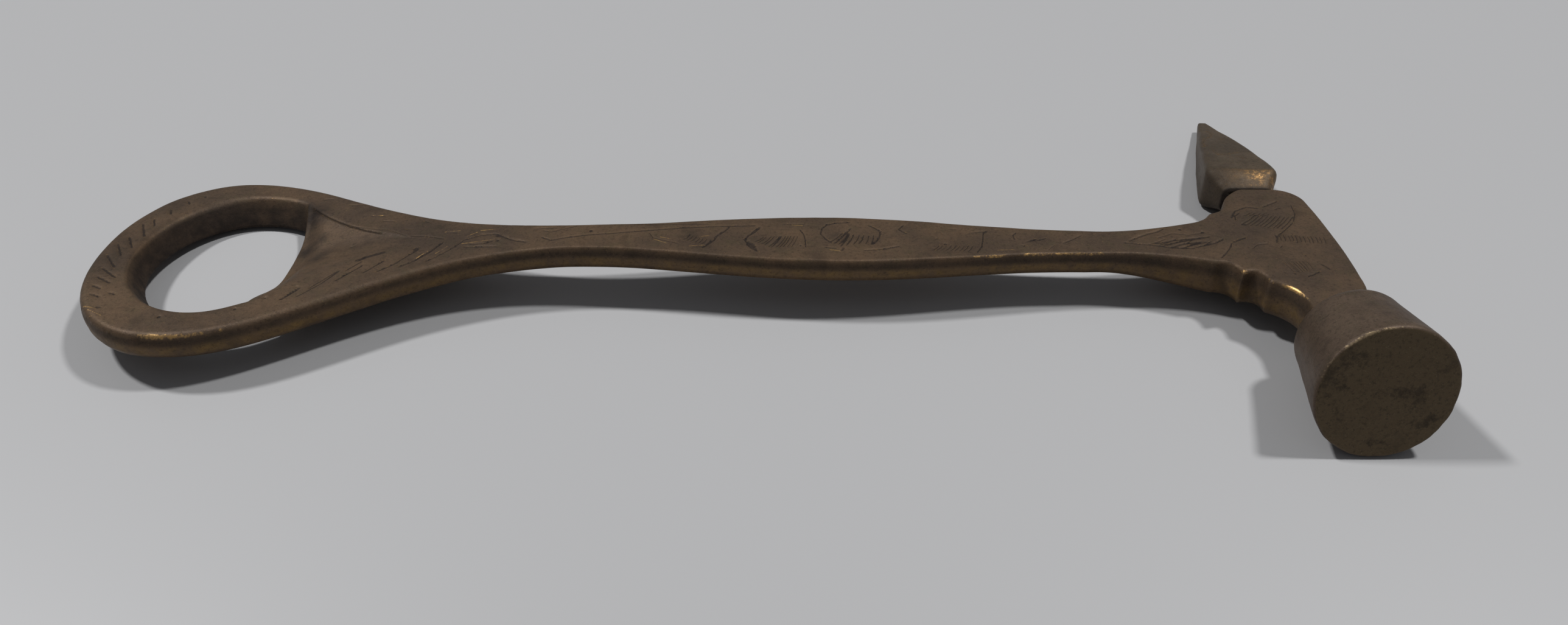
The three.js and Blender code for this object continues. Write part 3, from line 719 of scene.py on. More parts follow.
def clear_of_edges(points, hole, gap):
    points = points[is_inside(points, outline) & ~is_inside(points, hole)]
    return points[(distance_to(points, outline) > gap) & (distance_to(points, hole) > gap)]


def rings_inside(hole):
    groups = []
    for share in RING_SHARES:
        offset = outline + ring_normals * (rounding * share)[:, None]
        offset = offset[distance_to(offset, outline) > 0.97 * rounding * share - 1e-6]
        groups.append(clear_of_edges(offset, hole, RING_GAP))
    return groups


def rim_round(ring):
    far_side = smooth((ring[:, 1] + 8.0) / 16.0)
    near_lip = smooth((ring[:, 0] + 182.0) / 10.0)
    return LEAST_RIM_ROUND + (FAR_RIM_ROUND - LESS_NEAR_LIP * near_lip) * far_side


ring_height = top_at(upper_ring[:, 0]) - pocket_depth(upper_ring) - bottom_at(upper_ring[:, 0])
hole_round = np.minimum(rim_round(upper_ring), 0.28 * ring_height)[:, None]
upper_hole = upper_ring - inward_normals(upper_ring) * hole_round
lower_round = np.minimum(LOWER_RIM_ROUND, 0.3 * ring_height)[:, None]
lower_hole = lower_ring - inward_normals(lower_ring) * lower_round

along_grooves = [points_along(line, half_width) for line, half_width, _ in strokes]
along_scratches = [points_along(np.array(ends), SCRATCH_HALF_WIDTH) for ends in SCRATCHES]
pit_points = np.array([
    (x + r * share * math.cos(a), y + r * share * math.sin(a))
    for x, y, r in pits for share in (0.0, 0.5, 1.0)
    for a in np.linspace(0, 2 * np.pi, 9)[:-1]
])
groups = [np.vstack(found) for found in zip(*along_grooves)]
groups += [np.vstack(sum(along_scratches, [])), pit_points]
groups += [walk(pocket_side * (1.0, side) + (0.0, OPENING_OFFSET - side * inset), 0.4)
           for side in (-1.0, 1.0) for inset in (0.0, 0.12, 0.25, 0.5, 1.0, 1.8)]
groups.append(honeycomb(outline.min(0), outline.max(0), UPPER_STEP))
groups = [clear_of_edges(group, upper_hole, INNER_GAP) for group in groups]
upper_inner = thin_out(rings_inside(upper_hole) + groups, LEAST_GAP)
upper_plan, upper_faces, whole = triangulate(outline, upper_hole, upper_inner)
print("upper face", len(upper_plan), "points", len(upper_faces), "triangles, whole:", whole)

# %% Lay out the lower face
LOWER_STEP = 0.9
LOWER_GAP = 0.3

lower_comb = clear_of_edges(honeycomb(outline.min(0), outline.max(0), LOWER_STEP), lower_hole, LOWER_GAP)
lower_inner = thin_out(rings_inside(lower_hole) + [lower_comb], 2 * LEAST_GAP)
lower_plan, lower_faces, whole = triangulate(outline, lower_hole, lower_inner)
print("lower face", len(lower_plan), "points", len(lower_faces), "triangles, whole:", whole)

# %% [markdown]
# ## Lift the faces to their heights
# Hand filing leaves a gently uneven surface that makes reflections wander, so every height gets a
# little smooth noise. Near the outline the face falls away on a quarter round.

# %% Heights of the two faces
LOWER_ROUND_HEIGHT = 1.5    # the lower edge is rounded more than the upper one
LONG_WAVES = (7.0, 0.07)    # size and height of the uneven surface
SHORT_WAVES = (2.2, 0.018)
LOWER_WAVES = (6.0, 0.06)


def wander(points, size, amount):
    return amount * np.array([noise.noise(Vector((x / size, y / size, 0.7))) for x, y in points])


def edge_fall(away, width, height):
    share = np.clip(away / width, 0.0, 1.0)
    return height * (1 - np.sqrt(np.clip(1 - (1 - share) ** 2, 0.0, 1.0)))


def upper_heights(plan):
    round_here = edge_round_at(plan[:, 0])
    height = top_at(plan[:, 0]) - pocket_depth(plan) - groove_depth(plan)
    height += wander(plan, *LONG_WAVES) + wander(plan, *SHORT_WAVES)
    return height - edge_fall(distance_to(plan, outline), round_here, round_here)


def lower_heights(plan):
    height = bottom_at(plan[:, 0]) + wander(plan + 50.0, *LOWER_WAVES) + LOWER_WAVES[1]
    return height + edge_fall(distance_to(plan, outline), edge_round_at(plan[:, 0]), LOWER_ROUND_HEIGHT)


upper_z = upper_heights(upper_plan)
lower_z = lower_heights(lower_plan)
print("upper from", upper_z.min().round(2), "to", upper_z.max().round(2))

# %% [markdown]
# ## Walls
# The outer wall joins the two outlines and swells very slightly, as a filed edge does. The wall of
# the opening leans, and it is rounded into both faces by curved rows of points.

# %% String the walls between the faces
WALL_ROWS = 7
WALL_SWELL = 0.12
TURNED_INSIDE_OUT = (3, 2, 1, 0)
OTHER_WAY_ROUND = (0, 3, 2, 1)


def numbered(first, rows, count):
    return [first + row * count + np.arange(count) for row in range(rows)]


def strip(rows, order=(0, 1, 2, 3)):
    faces = []
    for row, after in zip(rows, rows[1:]):
        for i in range(len(row)):
            j = (i + 1) % len(row)
            corners = (row[i], row[j], after[j], after[i])
            faces.append(tuple(corners[k] for k in order))
    return faces


def curve_rows(start, control, end, count):
    t = np.linspace(0.0, 1.0, count)[:, None, None]
    return start * (1 - t) ** 2 + 2 * control * t * (1 - t) + end * t ** 2


def outer_wall(upper, lower):
    share = np.linspace(0.0, 1.0, WALL_ROWS)[1:-1]
    rows = upper + (lower - upper) * share[:, None, None]
    rows[:, :, :2] -= ring_normals * (WALL_SWELL * np.sin(np.pi * share))[:, None, None]
    return rows


def opening_wall(upper, lower):
    corner_up = np.c_[upper_ring, upper[:, 2]]
    corner_low = np.c_[lower_ring, lower[:, 2]]
    lean = corner_low - corner_up
    length = np.linalg.norm(lean, axis=1)[:, None]
    after = corner_up + lean * (hole_round / length)
    before = corner_low - lean * (lower_round / length)
    return np.vstack([
        curve_rows(upper, corner_up, after, 6)[1:],
        after + (before - after) * np.array((0.33, 0.67))[:, None, None],
        curve_rows(before, corner_low, lower, 4)[:-1],
    ])


def join_bar():
    upper, lower = np.c_[upper_plan, upper_z], np.c_[lower_plan, lower_z]
    first_lower = len(upper)
    points = [upper, lower]
    faces = [tuple(face) for face in upper_faces]
    faces += [tuple(first_lower + face[::-1]) for face in lower_faces]
    total = first_lower + len(lower)
    start = 0
    for count, wall, order in ((len(outline), outer_wall, TURNED_INSIDE_OUT),
                               (len(upper_ring), opening_wall, (0, 1, 2, 3))):
        rows = wall(upper[start:start + count], lower[start:start + count])
        points.append(rows.reshape(-1, 3))
        ends = numbered(start, 1, count), numbered(first_lower + start, 1, count)
        faces += strip(ends[0] + numbered(total, len(rows), count) + ends[1], order)
        total += len(rows) * count
        start += count
    return np.vstack(points), faces


bar_points, bar_faces = join_bar()
print("bar", len(bar_points), "points", len(bar_faces), "faces")

# %% [markdown]
# ## From points to a Blender piece
# One helper builds every piece: it lays the points down with the hammer's matrix, makes the faces
# smooth, and stores the masks that the material reads, such as wear and painted highlights, as named
# attributes.

# %% Helpers that make pieces
def lay_down(points):
    matrix = np.array(laid_down)
    return points @ matrix[:3, :3].T + matrix[:3, 3]


def make_piece(name, points, faces, masks=None):
    mesh = bpy.data.meshes.new(name)
    places = lay_down(np.asarray(points, float)).tolist()
    mesh.from_pydata(places, [], [tuple(map(int, face)) for face in faces])
    mesh.polygons.foreach_set("use_smooth", [True] * len(mesh.polygons))
    for mask, values in (masks or {}).items():
        attribute = mesh.attributes.new(mask, "FLOAT", "POINT")
        attribute.data.foreach_set("value", np.asarray(values, np.float32))
    mesh.update()
    piece = bpy.data.objects.new(name, mesh)
    bpy.context.scene.collection.objects.link(piece)
    return piece


def cut(piece, *cutters):
    for cutter in cutters:
        modifier = piece.modifiers.new("cut", "BOOLEAN")
        modifier.object = cutter
        modifier.operation = "DIFFERENCE"
        modifier.solver = "EXACT"
    graph = bpy.context.evaluated_depsgraph_get()
    mesh = bpy.data.meshes.new_from_object(piece.evaluated_get(graph))
    piece.modifiers.clear()
    piece.data = mesh
    for cutter in cutters:
        bpy.data.objects.remove(cutter)


def rod(name, diameter, start_y, end_y, x=0.0, sides=48):
    angle = np.linspace(0, 2 * np.pi, sides, endpoint=False)
    ring = np.c_[x + diameter / 2 * np.cos(angle), np.zeros(sides), diameter / 2 * np.sin(angle)]
    points = np.vstack([ring + (0, start_y, 0), ring + (0, end_y, 0)])
    faces = strip(numbered(0, 2, sides), OTHER_WAY_ROUND)
    faces += [tuple(range(sides)), tuple(range(2 * sides - 1, sides - 1, -1))]
    return make_piece(name, points, faces)


# %% [markdown]
# ## Wear, stains, painted shade and painted reflections
# Hands and cloths polish the edges first, and dirt stays where they can't reach. Wear falls off
# with the distance from an edge, and a few named places say where it is strong; along all edges it also
# paints a faint highlight. The side walls get painted shade in a band above and a painted golden reflection
# of the table below, and the wall of the opening is painted dark all over as shade.

# %% Masks for the bar
# Wear along every edge, which also paints a faint highlight along them.
EDGE_WEAR_AND_HIGHLIGHT = 0.2
OPENING_WEAR = (0.6, 0.7)   # how worn the opening's rim is, and how far that reaches
SCRATCH_WEAR = (0.62, 0.12)
WALL_REACH = 0.5            # a point this near to the outline belongs to the side wall
# Painted shade: a dark band on the upper part of the side walls.
SHADED_BAND = (0.14, 0.26, 0.32, 0.54)    # where it starts, is full, fades and ends on the way down
# Painted reflection: a golden band low on the side walls, where they face the lit table.
REFLECTION_BAND = (0.3, 0.28)   # where it starts on the way down and the run it takes
BAND_SHADE = 0.5
OPENING_SHADE = (0.15, 0.9, 0.75)
FULL_GROOVE = 0.1           # a groove this deep is as dark as it gets

# Each place has its x and y, its reach and how strong it is.
WORN_PLACES = [
    (-173.5, -22.6, 6.0, 0.9), (-166.0, -20.5, 6.0, 0.5), (-187.0, -17.0, 4.0, 0.3),
    (-184.0, 12.0, 5.0, 0.5), (-173.0, 18.5, 4.0, 0.5), (-146.0, -9.0, 9.0, 0.3), (-132.0, -5.0, 9.0, 0.35),
    (-100.0, -5.0, 9.0, 0.3), (-74.0, -7.0, 12.0, 0.3), (-50.0, -5.0, 5.0, 0.9), (-42.0, -4.2, 6.0, 0.95),
    (-35.0, -3.9, 3.0, 0.8), (-12.4, -9.1, 1.5, 1.1), (-9.0, -11.8, 1.4, 1.0), (-5.6, -14.2, 2.9, 1.3),
    (2.0, -14.5, 3.0, 0.35), (0.0, 16.0, 6.0, 0.3),
]
# Stains and slow tone. The two spots on the pocket's far bank by the lip and the two in the flutes paint
# shade, with some dirt.
STAINS_AND_SHADE = [
    (-187.5, 14.5, 2.4, 0.5), (-163.4, 13.0, 3.0, 1.0), (-165.4, 14.6, 2.4, 1.0), (-163.8, 9.0, 2.0, 0.45),
    (-162.5, 4.4, 2.2, 0.9), (-160.2, 6.4, 1.5, 0.6), (-176.0, -17.0, 2.2, 0.4), (-169.0, -16.0, 2.0, 0.4),
    (-13.8, -7.0, 1.3, 0.55), (-10.2, -9.4, 1.2, 0.6), (3.6, -15.0, 1.6, 0.5), (-1.0, -2.0, 16.0, 0.4),
    (-190.5, 1.0, 10.0, 0.56), (-142.0, 0.5, 17.0, 0.36), (-160.0, 15.0, 12.0, 0.1), (-159.4, 0.9, 2.1, 0.7),
]


def strongest(points, places, base):
    strength = np.full(len(points), base)
    for x, y, reach, amount in places:
        away = np.hypot(points[:, 0] - x, points[:, 1] - y)
        strength = np.maximum(strength, amount * bell(away, reach))
    return strength


def bar_masks(points):
    plan = points[:, :2]
    outer = distance_to(plan, outline)
    inner = distance_to(plan, upper_ring)
    in_opening = is_inside(plan, upper_ring) | (inner < 0.05)
    surface = top_at(plan[:, 0]) - pocket_depth(plan)
    below = surface - points[:, 2]
    down = np.clip(below / (surface - bottom_at(plan[:, 0])), 0.0, 1.0)
    deep = np.maximum(below, 0.0)
    width = 0.6 * edge_round_at(plan[:, 0])
    outer_edge = bell(np.hypot(outer, deep - 0.15), width)
    inner_edge = OPENING_WEAR[0] * bell(np.hypot(inner, deep), OPENING_WEAR[1])
    wall = 1 - smooth(outer / WALL_REACH)
    # Painted shade in a band high on the outer side walls.
    starts, full, fades, ends = SHADED_BAND
    shaded_band = smooth((down - starts) / (full - starts)) * (1 - smooth((down - fades) / (ends - fades)))
    # Stains and leaf dirt, with painted shade on the pocket's bank and in the flutes.
    spot_stain_and_shade = strongest(plan, STAINS_AND_SHADE + leaf_stains, 0.0)
    shade_and_stain = np.maximum(wall * (BAND_SHADE * shaded_band + spot_stain_and_shade * down), spot_stain_and_shade * (1 - wall) * (down < 0.3))
    # Painted shade: the wall of the opening is darkened all over, more towards the bottom.
    start, run, least = OPENING_SHADE
    in_dark = smooth((below - start) / run) * (least + (1 - least) * down)
    shade_and_stain = np.where(in_opening, in_dark, shade_and_stain)
    # Wear along edges and at named places, with a faint painted highlight along all edges.
    wear_and_highlight = np.maximum(outer_edge, inner_edge) * strongest(plan, WORN_PLACES, EDGE_WEAR_AND_HIGHLIGHT)
    for ends in SCRATCHES:
        gap = distance_to(plan, np.array(ends), closed=False)
        bright = SCRATCH_WEAR[0] * bell(gap, SCRATCH_WEAR[1])
        wear_and_highlight = np.maximum(wear_and_highlight, bright * (below < 0.3))
    cut_depth = groove_depth(plan)
    groove = cut_depth * (np.abs(below - cut_depth) < 0.35)
    return {
        "wear_and_highlight": np.clip(wear_and_highlight, 0.0, 1.0),
        "groove": np.clip(groove / FULL_GROOVE, 0.0, 1.0),
        "shade_and_stain": np.clip(shade_and_stain, 0.0, 1.0),
        # Painted reflection of the table, golden, low on the outer side walls.
        "painted_reflection": np.where(in_opening, 0.0, wall * smooth((down - REFLECTION_BAND[0]) / REFLECTION_BAND[1])),
    }


bar = make_piece("bar_casting", bar_points, bar_faces, bar_masks(bar_points))
print("bar", len(bar.data.vertices), "vertices", [round(v, 4) for v in bar.dimensions])

# %% Drill the bar for its two studs
SEAT_GAP = 0.3
STRIKER_STUD = (3.2, 16.0)  # diameter and length
PICK_STUD = (2.6, 14.0)
PICK_X = -2.2


def hole_for(stud, middle):
    reach = stud[1] / 2 + SEAT_GAP
    return stud[0] + 2 * SEAT_GAP, middle - reach, middle + reach


pick_shoulder = PICK_SIDE + SEAT_GAP
striker_hole = hole_for(STRIKER_STUD, -tenon_end)
pick_hole = hole_for(PICK_STUD, pick_shoulder)
cut(bar, rod("drill_a", *striker_hole), rod("drill_b", *pick_hole, x=PICK_X))
print("drilled bar", len(bar.data.vertices), "vertices")

# %% [markdown]
# ## The striking head
# It was turned on a lathe: a slightly conical plug with a heavily rounded back. Its face was then
# filed so that it looks a little upwards. A lathe shape is a profile swept round an axis; leaning
# each ring a little more towards the face gives the slant, and smooth noise gives the dings.

# %% Turn the striking head
FACE_RADIUS = 10.4
BACK_RADIUS = 8.25
STRIKER_LENGTH = 16.4
BACK_ROUND = 3.4
FACE_CHAMFER = 0.4
FACE_SLANT = math.tan(math.radians(9.2))
HEAD_SIDES = 160
DING = 0.05
SMALL_DING = 0.02
MORE_AT_RIM = 3             # dings are this many times deeper again at the face's rim
RIM_REACH = 0.8
# The face's rim is worn bright, and a highlight is also painted onto it, strongest on its upper left.
WEAR_AND_HIGHLIGHT_REACH = 0.38
WEAR_AND_HIGHLIGHT_ANGLE = 118            # the most worn part of the rim, in degrees round the face
WEAR_AND_HIGHLIGHT_SPREAD = 34


def striker_profile():
    back = [(BACK_RADIUS - BACK_ROUND + BACK_ROUND * math.sin(a), BACK_ROUND * (1 - math.cos(a)))
            for a in np.linspace(0, np.pi / 2, 10)]
    flat = [(r, 0.0) for r in np.linspace(0.6, back[0][0], 8)[:-1]]
    side = [(BACK_RADIUS + (FACE_RADIUS - BACK_RADIUS) * t,
             BACK_ROUND + (STRIKER_LENGTH - FACE_CHAMFER - BACK_ROUND) * t)
            for t in np.linspace(0, 1, 22)[1:]]
    rim = [(FACE_RADIUS - FACE_CHAMFER * (1 - math.cos(a)),
            STRIKER_LENGTH - FACE_CHAMFER * (1 - math.sin(a)))
           for a in np.linspace(0, np.pi / 2, 6)[1:]]
    face = [(r, STRIKER_LENGTH) for r in np.linspace(FACE_RADIUS - FACE_CHAMFER, 0.0, 22)[1:-1]]
    return np.array(flat + back + side + rim + face)


def turned(profile, sides):
    angle = np.linspace(0, 2 * np.pi, sides, endpoint=False)
    radius, depth = profile[:, :1], profile[:, 1:]
    rings = np.stack([radius * np.cos(angle), -depth * np.ones_like(angle), radius * np.sin(angle)], axis=2)
    points = np.vstack([rings.reshape(-1, 3), [(0, -profile[0, 1], 0)], [(0, -profile[-1, 1], 0)]])
    rows = numbered(0, len(profile), sides)
    faces = strip(rows)
    centre = len(profile) * sides
    for i in range(sides):
        j = (i + 1) % sides
        faces += [(centre, j, i), (centre + 1, rows[-1][i], rows[-1][j])]
    return points, faces


def dings(points, size, amount, seed):
    return amount * np.array([noise.noise(Vector(p / size) + Vector((seed, 0, 0))) for p in points])


head_points, head_faces = turned(striker_profile(), HEAD_SIDES)
share = -head_points[:, 1] / STRIKER_LENGTH
reach = np.hypot(head_points[:, 0], head_points[:, 2])
head_points[:, 1] += FACE_SLANT * head_points[:, 2] * share
rim_gap = np.hypot(reach - FACE_RADIUS, (share - 1) * STRIKER_LENGTH)
ding = dings(head_points, 3.0, DING, 5.0) + dings(head_points, 1.1, SMALL_DING, 9.0)
inward = np.minimum(ding - DING, 0.0) * (1 + MORE_AT_RIM * bell(rim_gap, RIM_REACH))
head_points[:, [0, 2]] *= (1 + inward / np.maximum(reach, 1.0))[:, None]
head_points[:, 1] += (-HEAD_SIDE) + np.where(share > 0.97, 0.06 + ding * 0.4, 0.0)

angle = np.degrees(np.arctan2(head_points[:, 2], head_points[:, 0]))
upper_left = bell(angle - WEAR_AND_HIGHLIGHT_ANGLE, WEAR_AND_HIGHLIGHT_SPREAD)
# Worn rim with a painted highlight, strongest on the upper left.
striker = make_piece("striking_head_turned", head_points, head_faces, {
    "wear_and_highlight": bell(rim_gap, WEAR_AND_HIGHLIGHT_REACH) * (0.25 + 0.45 * upper_left),
    "face": smooth((share - 0.975) / 0.02) * (reach < FACE_RADIUS - 0.2),
})
print("striking head", [round(v, 4) for v in striker.dimensions])

# %% Let the plate and the stud into its back
def block(name, low, high):
    corners = [(x, y, z) for x in (low[0], high[0]) for y in (low[1], high[1]) for z in (low[2], high[2])]
    faces = [(0, 1, 3, 2), (4, 6, 7, 5), (0, 4, 5, 1), (2, 3, 7, 6), (0, 2, 6, 4), (1, 5, 7, 3)]
    return make_piece(name, corners, faces)


recess = block(
    "recess",
    (-half_root - SEAT_GAP, -tenon_end - SEAT_GAP, PLATE_TOP - PLATE_THICKNESS - SEAT_GAP),
    (half_root + SEAT_GAP, -HEAD_SIDE + 2.0, PLATE_TOP + SEAT_GAP),
)
cut(striker, recess, rod("drill_c", *striker_hole))
print("recessed head", len(striker.data.vertices), "vertices")

# %% [markdown]
# ## The ice pick
# The pick is a long four-sided pyramid on a short neck that tapers down to the plate. Its sides
# bow out a little and its edges are softened by use. A skin over rounded four-sided sections gives
# neck and blade in one piece. A few file marks on its upper side are pressed in afterwards.

# %% Skin the pick over its sections
PICK_BASE = (13.0, 7.8)
PICK_NECK = (8.7, 4.6)
PICK_NECK_LENGTH = 4.3
PICK_LENGTH = 25.8
PICK_TIP = (1.7, 1.2)
PICK_SWELL = (0.45, 0.32)
PICK_LEAN = 1.0
PICK_EDGE = 0.9
NECK_EDGE = 1.9
BASE_SOFTNESS = 0.45
SHOULDER_REACH = 1.2        # sections stand closer together this near to the neck's end
CORNER_STEPS = 6
EDGE_STEPS = 26


def rounded_ring(half, corner):
    corner = min(corner, 0.6 * half[0], 0.6 * half[1])
    arcs = []
    for quarter, signs in enumerate(((1, 1), (-1, 1), (-1, -1), (1, -1))):
        angle = np.linspace(0, np.pi / 2, CORNER_STEPS) + quarter * np.pi / 2
        middle = np.array(signs) * (np.array(half) - corner)
        arcs.append(middle + corner * np.c_[np.cos(angle), np.sin(angle)])
    ring = []
    for arc, after in zip(arcs, arcs[1:] + arcs[:1]):
        t = np.linspace(0, 1, EDGE_STEPS + 2)[1:-1, None]
        ring += [arc, arc[-1] + (after[0] - arc[-1]) * t]
    return np.vstack(ring)


def pick_ring(y):
    neck_share = y / PICK_NECK_LENGTH
    blade_share = max(0.0, (y - PICK_NECK_LENGTH) / PICK_LENGTH)
    half = []
    for base, tip, neck, swell in zip(PICK_BASE, PICK_TIP, PICK_NECK, PICK_SWELL):
        blade = (base + (tip - base) * blade_share) / 2 + swell * 4 * blade_share * (1 - blade_share)
        half.append(float(softer_smaller((neck + (base - neck) * neck_share) / 2, blade, BASE_SOFTNESS)))
    corner = PICK_EDGE + (NECK_EDGE - PICK_EDGE) * float(smooth(1.5 - neck_share))
    ring = rounded_ring(half, corner)
    x = PICK_X + PICK_LEAN * blade_share + ring[:, 0]
    return np.c_[x, np.full(len(ring), pick_shoulder + y), ring[:, 1]]


pick_rows = [pick_ring(y) for y in np.r_[
    np.linspace(0.0, PICK_NECK_LENGTH - SHOULDER_REACH, 8)[:-1],
    PICK_NECK_LENGTH + np.linspace(-SHOULDER_REACH, SHOULDER_REACH, 14),
    PICK_NECK_LENGTH + np.linspace(SHOULDER_REACH, PICK_LENGTH, 80)[1:],
]]
pick_points = np.vstack(pick_rows)
numbers = numbered(0, len(pick_rows), len(pick_rows[0]))
pick_faces = strip(numbers, OTHER_WAY_ROUND) + [tuple(numbers[0]), tuple(numbers[-1][::-1])]
ding = dings(pick_points, 3.5, 0.09, 2.0) - 0.09
away = np.hypot(pick_points[:, 0] - PICK_X, pick_points[:, 2])
for k, middle in ((0, PICK_X), (2, 0.0)):
    pick_points[:, k] += (pick_points[:, k] - middle) * np.minimum(ding, 0) / np.maximum(away, 2.0)
print("pick", len(pick_rows), "sections", len(pick_faces), "faces")

# %% Mark the pick, paint a reflection and shade onto it, and drill it
MARK_HALF_WIDTH = 0.6
MARK_DEPTH = 0.1
FILE_MARKS = [
    ((-2.1, 43.1), (-1.7, 41.6), (-2.9, 39.5), (-4.2, 38.2), (-5.2, 35.9), (-5.4, 34.2)),
    ((-4.7, 32.4), (-4.3, 29.8), (-2.5, 30.3), (-0.4, 31.1)),
    ((-0.7, 29.0), (-0.3, 28.1)),
    ((-1.2, 38.4), (-0.5, 38.4)),
]

mark = np.zeros(len(pick_points))
for line in FILE_MARKS:
    gap = distance_to(pick_points[:, :2], np.array(line), closed=False)
    mark = np.maximum(mark, np.clip(1.0 - gap / MARK_HALF_WIDTH, 0.0, 1.0))
mark = mark * (pick_points[:, 2] > 0.5)
x, height = pick_points[:, 0], pick_points[:, 2]
from_base = pick_points[:, 1] - (pick_shoulder + PICK_NECK_LENGTH)
from_plate = from_base + PICK_NECK_LENGTH
# Painted reflection: the taper down to the plate is painted golden and bright, as where it reflects a lamp.
on_taper = smooth(from_plate / 0.8) * (1 - smooth(from_base / 0.8))
# Painted shade on the neck and the start of the base on the side towards the loop, and at the foot against
# the plate.
far_shade = 0.42 * (1 - smooth(from_base / 2.0)) * (1 - smooth((x + 6.5) / 4.5))
pick_masks = {
    "wear_and_highlight": 0.38 * on_taper * smooth((x + 7.0) / 7.0) * smooth(height - 0.3),
    "shade_and_stain": np.maximum(far_shade, 1 - smooth(from_plate / 0.7)),
    "groove": 0.6 * mark,
    "painted_reflection": 0.8 * on_taper * smooth((x + 9.0) / 6.0),
}
pick_points[:, 2] -= MARK_DEPTH * mark
pick = make_piece("ice_pick_filed", pick_points, pick_faces, pick_masks)
cut(pick, rod("drill_d", *pick_hole, x=PICK_X))
print("pick", [round(v, 4) for v in pick.dimensions])

# %% [markdown]
# ## Patinated brass
# Old brass is brown where air and hands have tanned it and golden where it is rubbed bare. The
# material starts from two browns mixed by slow noise, adds olive and dark blotches, painted golden
# reflections and painted shade, and then shows bare metal and painted highlights where the wear and
# highlight mask and a fine noise agree. Grooves stay dark and dull.
# Constant values sit on the shader's own sockets; only what varies is linked.

# %% A small language for node trees
def colour(red, green, blue):
    def linear(v):
        v /= 255
        return v / 12.92 if v <= 0.04045 else ((v + 0.055) / 1.055) ** 2.4
    return (linear(red), linear(green), linear(blue), 1.0)


class Tree:
    def __init__(self, name):
        self.material = bpy.data.materials.new(name)
        self.material.use_nodes = True
        self.tree = self.material.node_tree
        self.tree.nodes.clear()

    def add(self, kind, settings=None, **inputs):
        made = self.tree.nodes.new(kind)
        for name, value in (settings or {}).items():
            setattr(made, name, value)
        for name, value in inputs.items():
            self.feed(made.inputs[name], value)
        return made

    def feed(self, socket, value):
        if hasattr(value, "is_output"):
            self.tree.links.new(value, socket)
        else:
            socket.default_value = value

    def noise(self, place, scale, detail=3.0, roughness=0.55):
        made = self.add("ShaderNodeTexNoise", Vector=place, Scale=scale, Detail=detail, Roughness=roughness)
        return made.outputs["Fac"]

    def ramp(self, value, low, high):
        made = self.add("ShaderNodeMapRange", {"interpolation_type": "SMOOTHSTEP"}, Value=value)
        made.inputs["From Min"].default_value = low
        made.inputs["From Max"].default_value = high
        return made.outputs["Result"]

    def maths(self, operation, a, b):
        made = self.add("ShaderNodeMath", {"operation": operation, "use_clamp": True})
        self.feed(made.inputs[0], a)
        self.feed(made.inputs[1], b)
        return made.outputs[0]

    def times(self, a, b):
        return self.maths("MULTIPLY", a, b)

    def part(self, share, value, low, high):
        return self.times(self.ramp(value, low, high), share)

    def plus(self, a, b):
        return self.maths("ADD", a, b)

    def mix(self, share, a, b):
        made = self.add("ShaderNodeMix", {"data_type": "RGBA"})
        for number, value in zip((0, 6, 7), (share, a, b)):
            self.feed(made.inputs[number], value)
        return made.outputs[2]

    def mask(self, name):
        return self.add("ShaderNodeAttribute", {"attribute_name": name}).outputs["Fac"]

    def surface(self, base, **inputs):
        shader = self.add("ShaderNodeBsdfPrincipled", **inputs)
        self.feed(shader.inputs["Base Color"], base)
        self.add("ShaderNodeOutputMaterial", Surface=shader.outputs[0])
        return shader


# %% The brass, with its colours as values
# A dark colour for real stains and smudges, and for painted shade.
SHADE_AND_STAIN_COLOUR = colour(30, 23, 20)
GROOVE_COLOUR = colour(28, 21, 18)


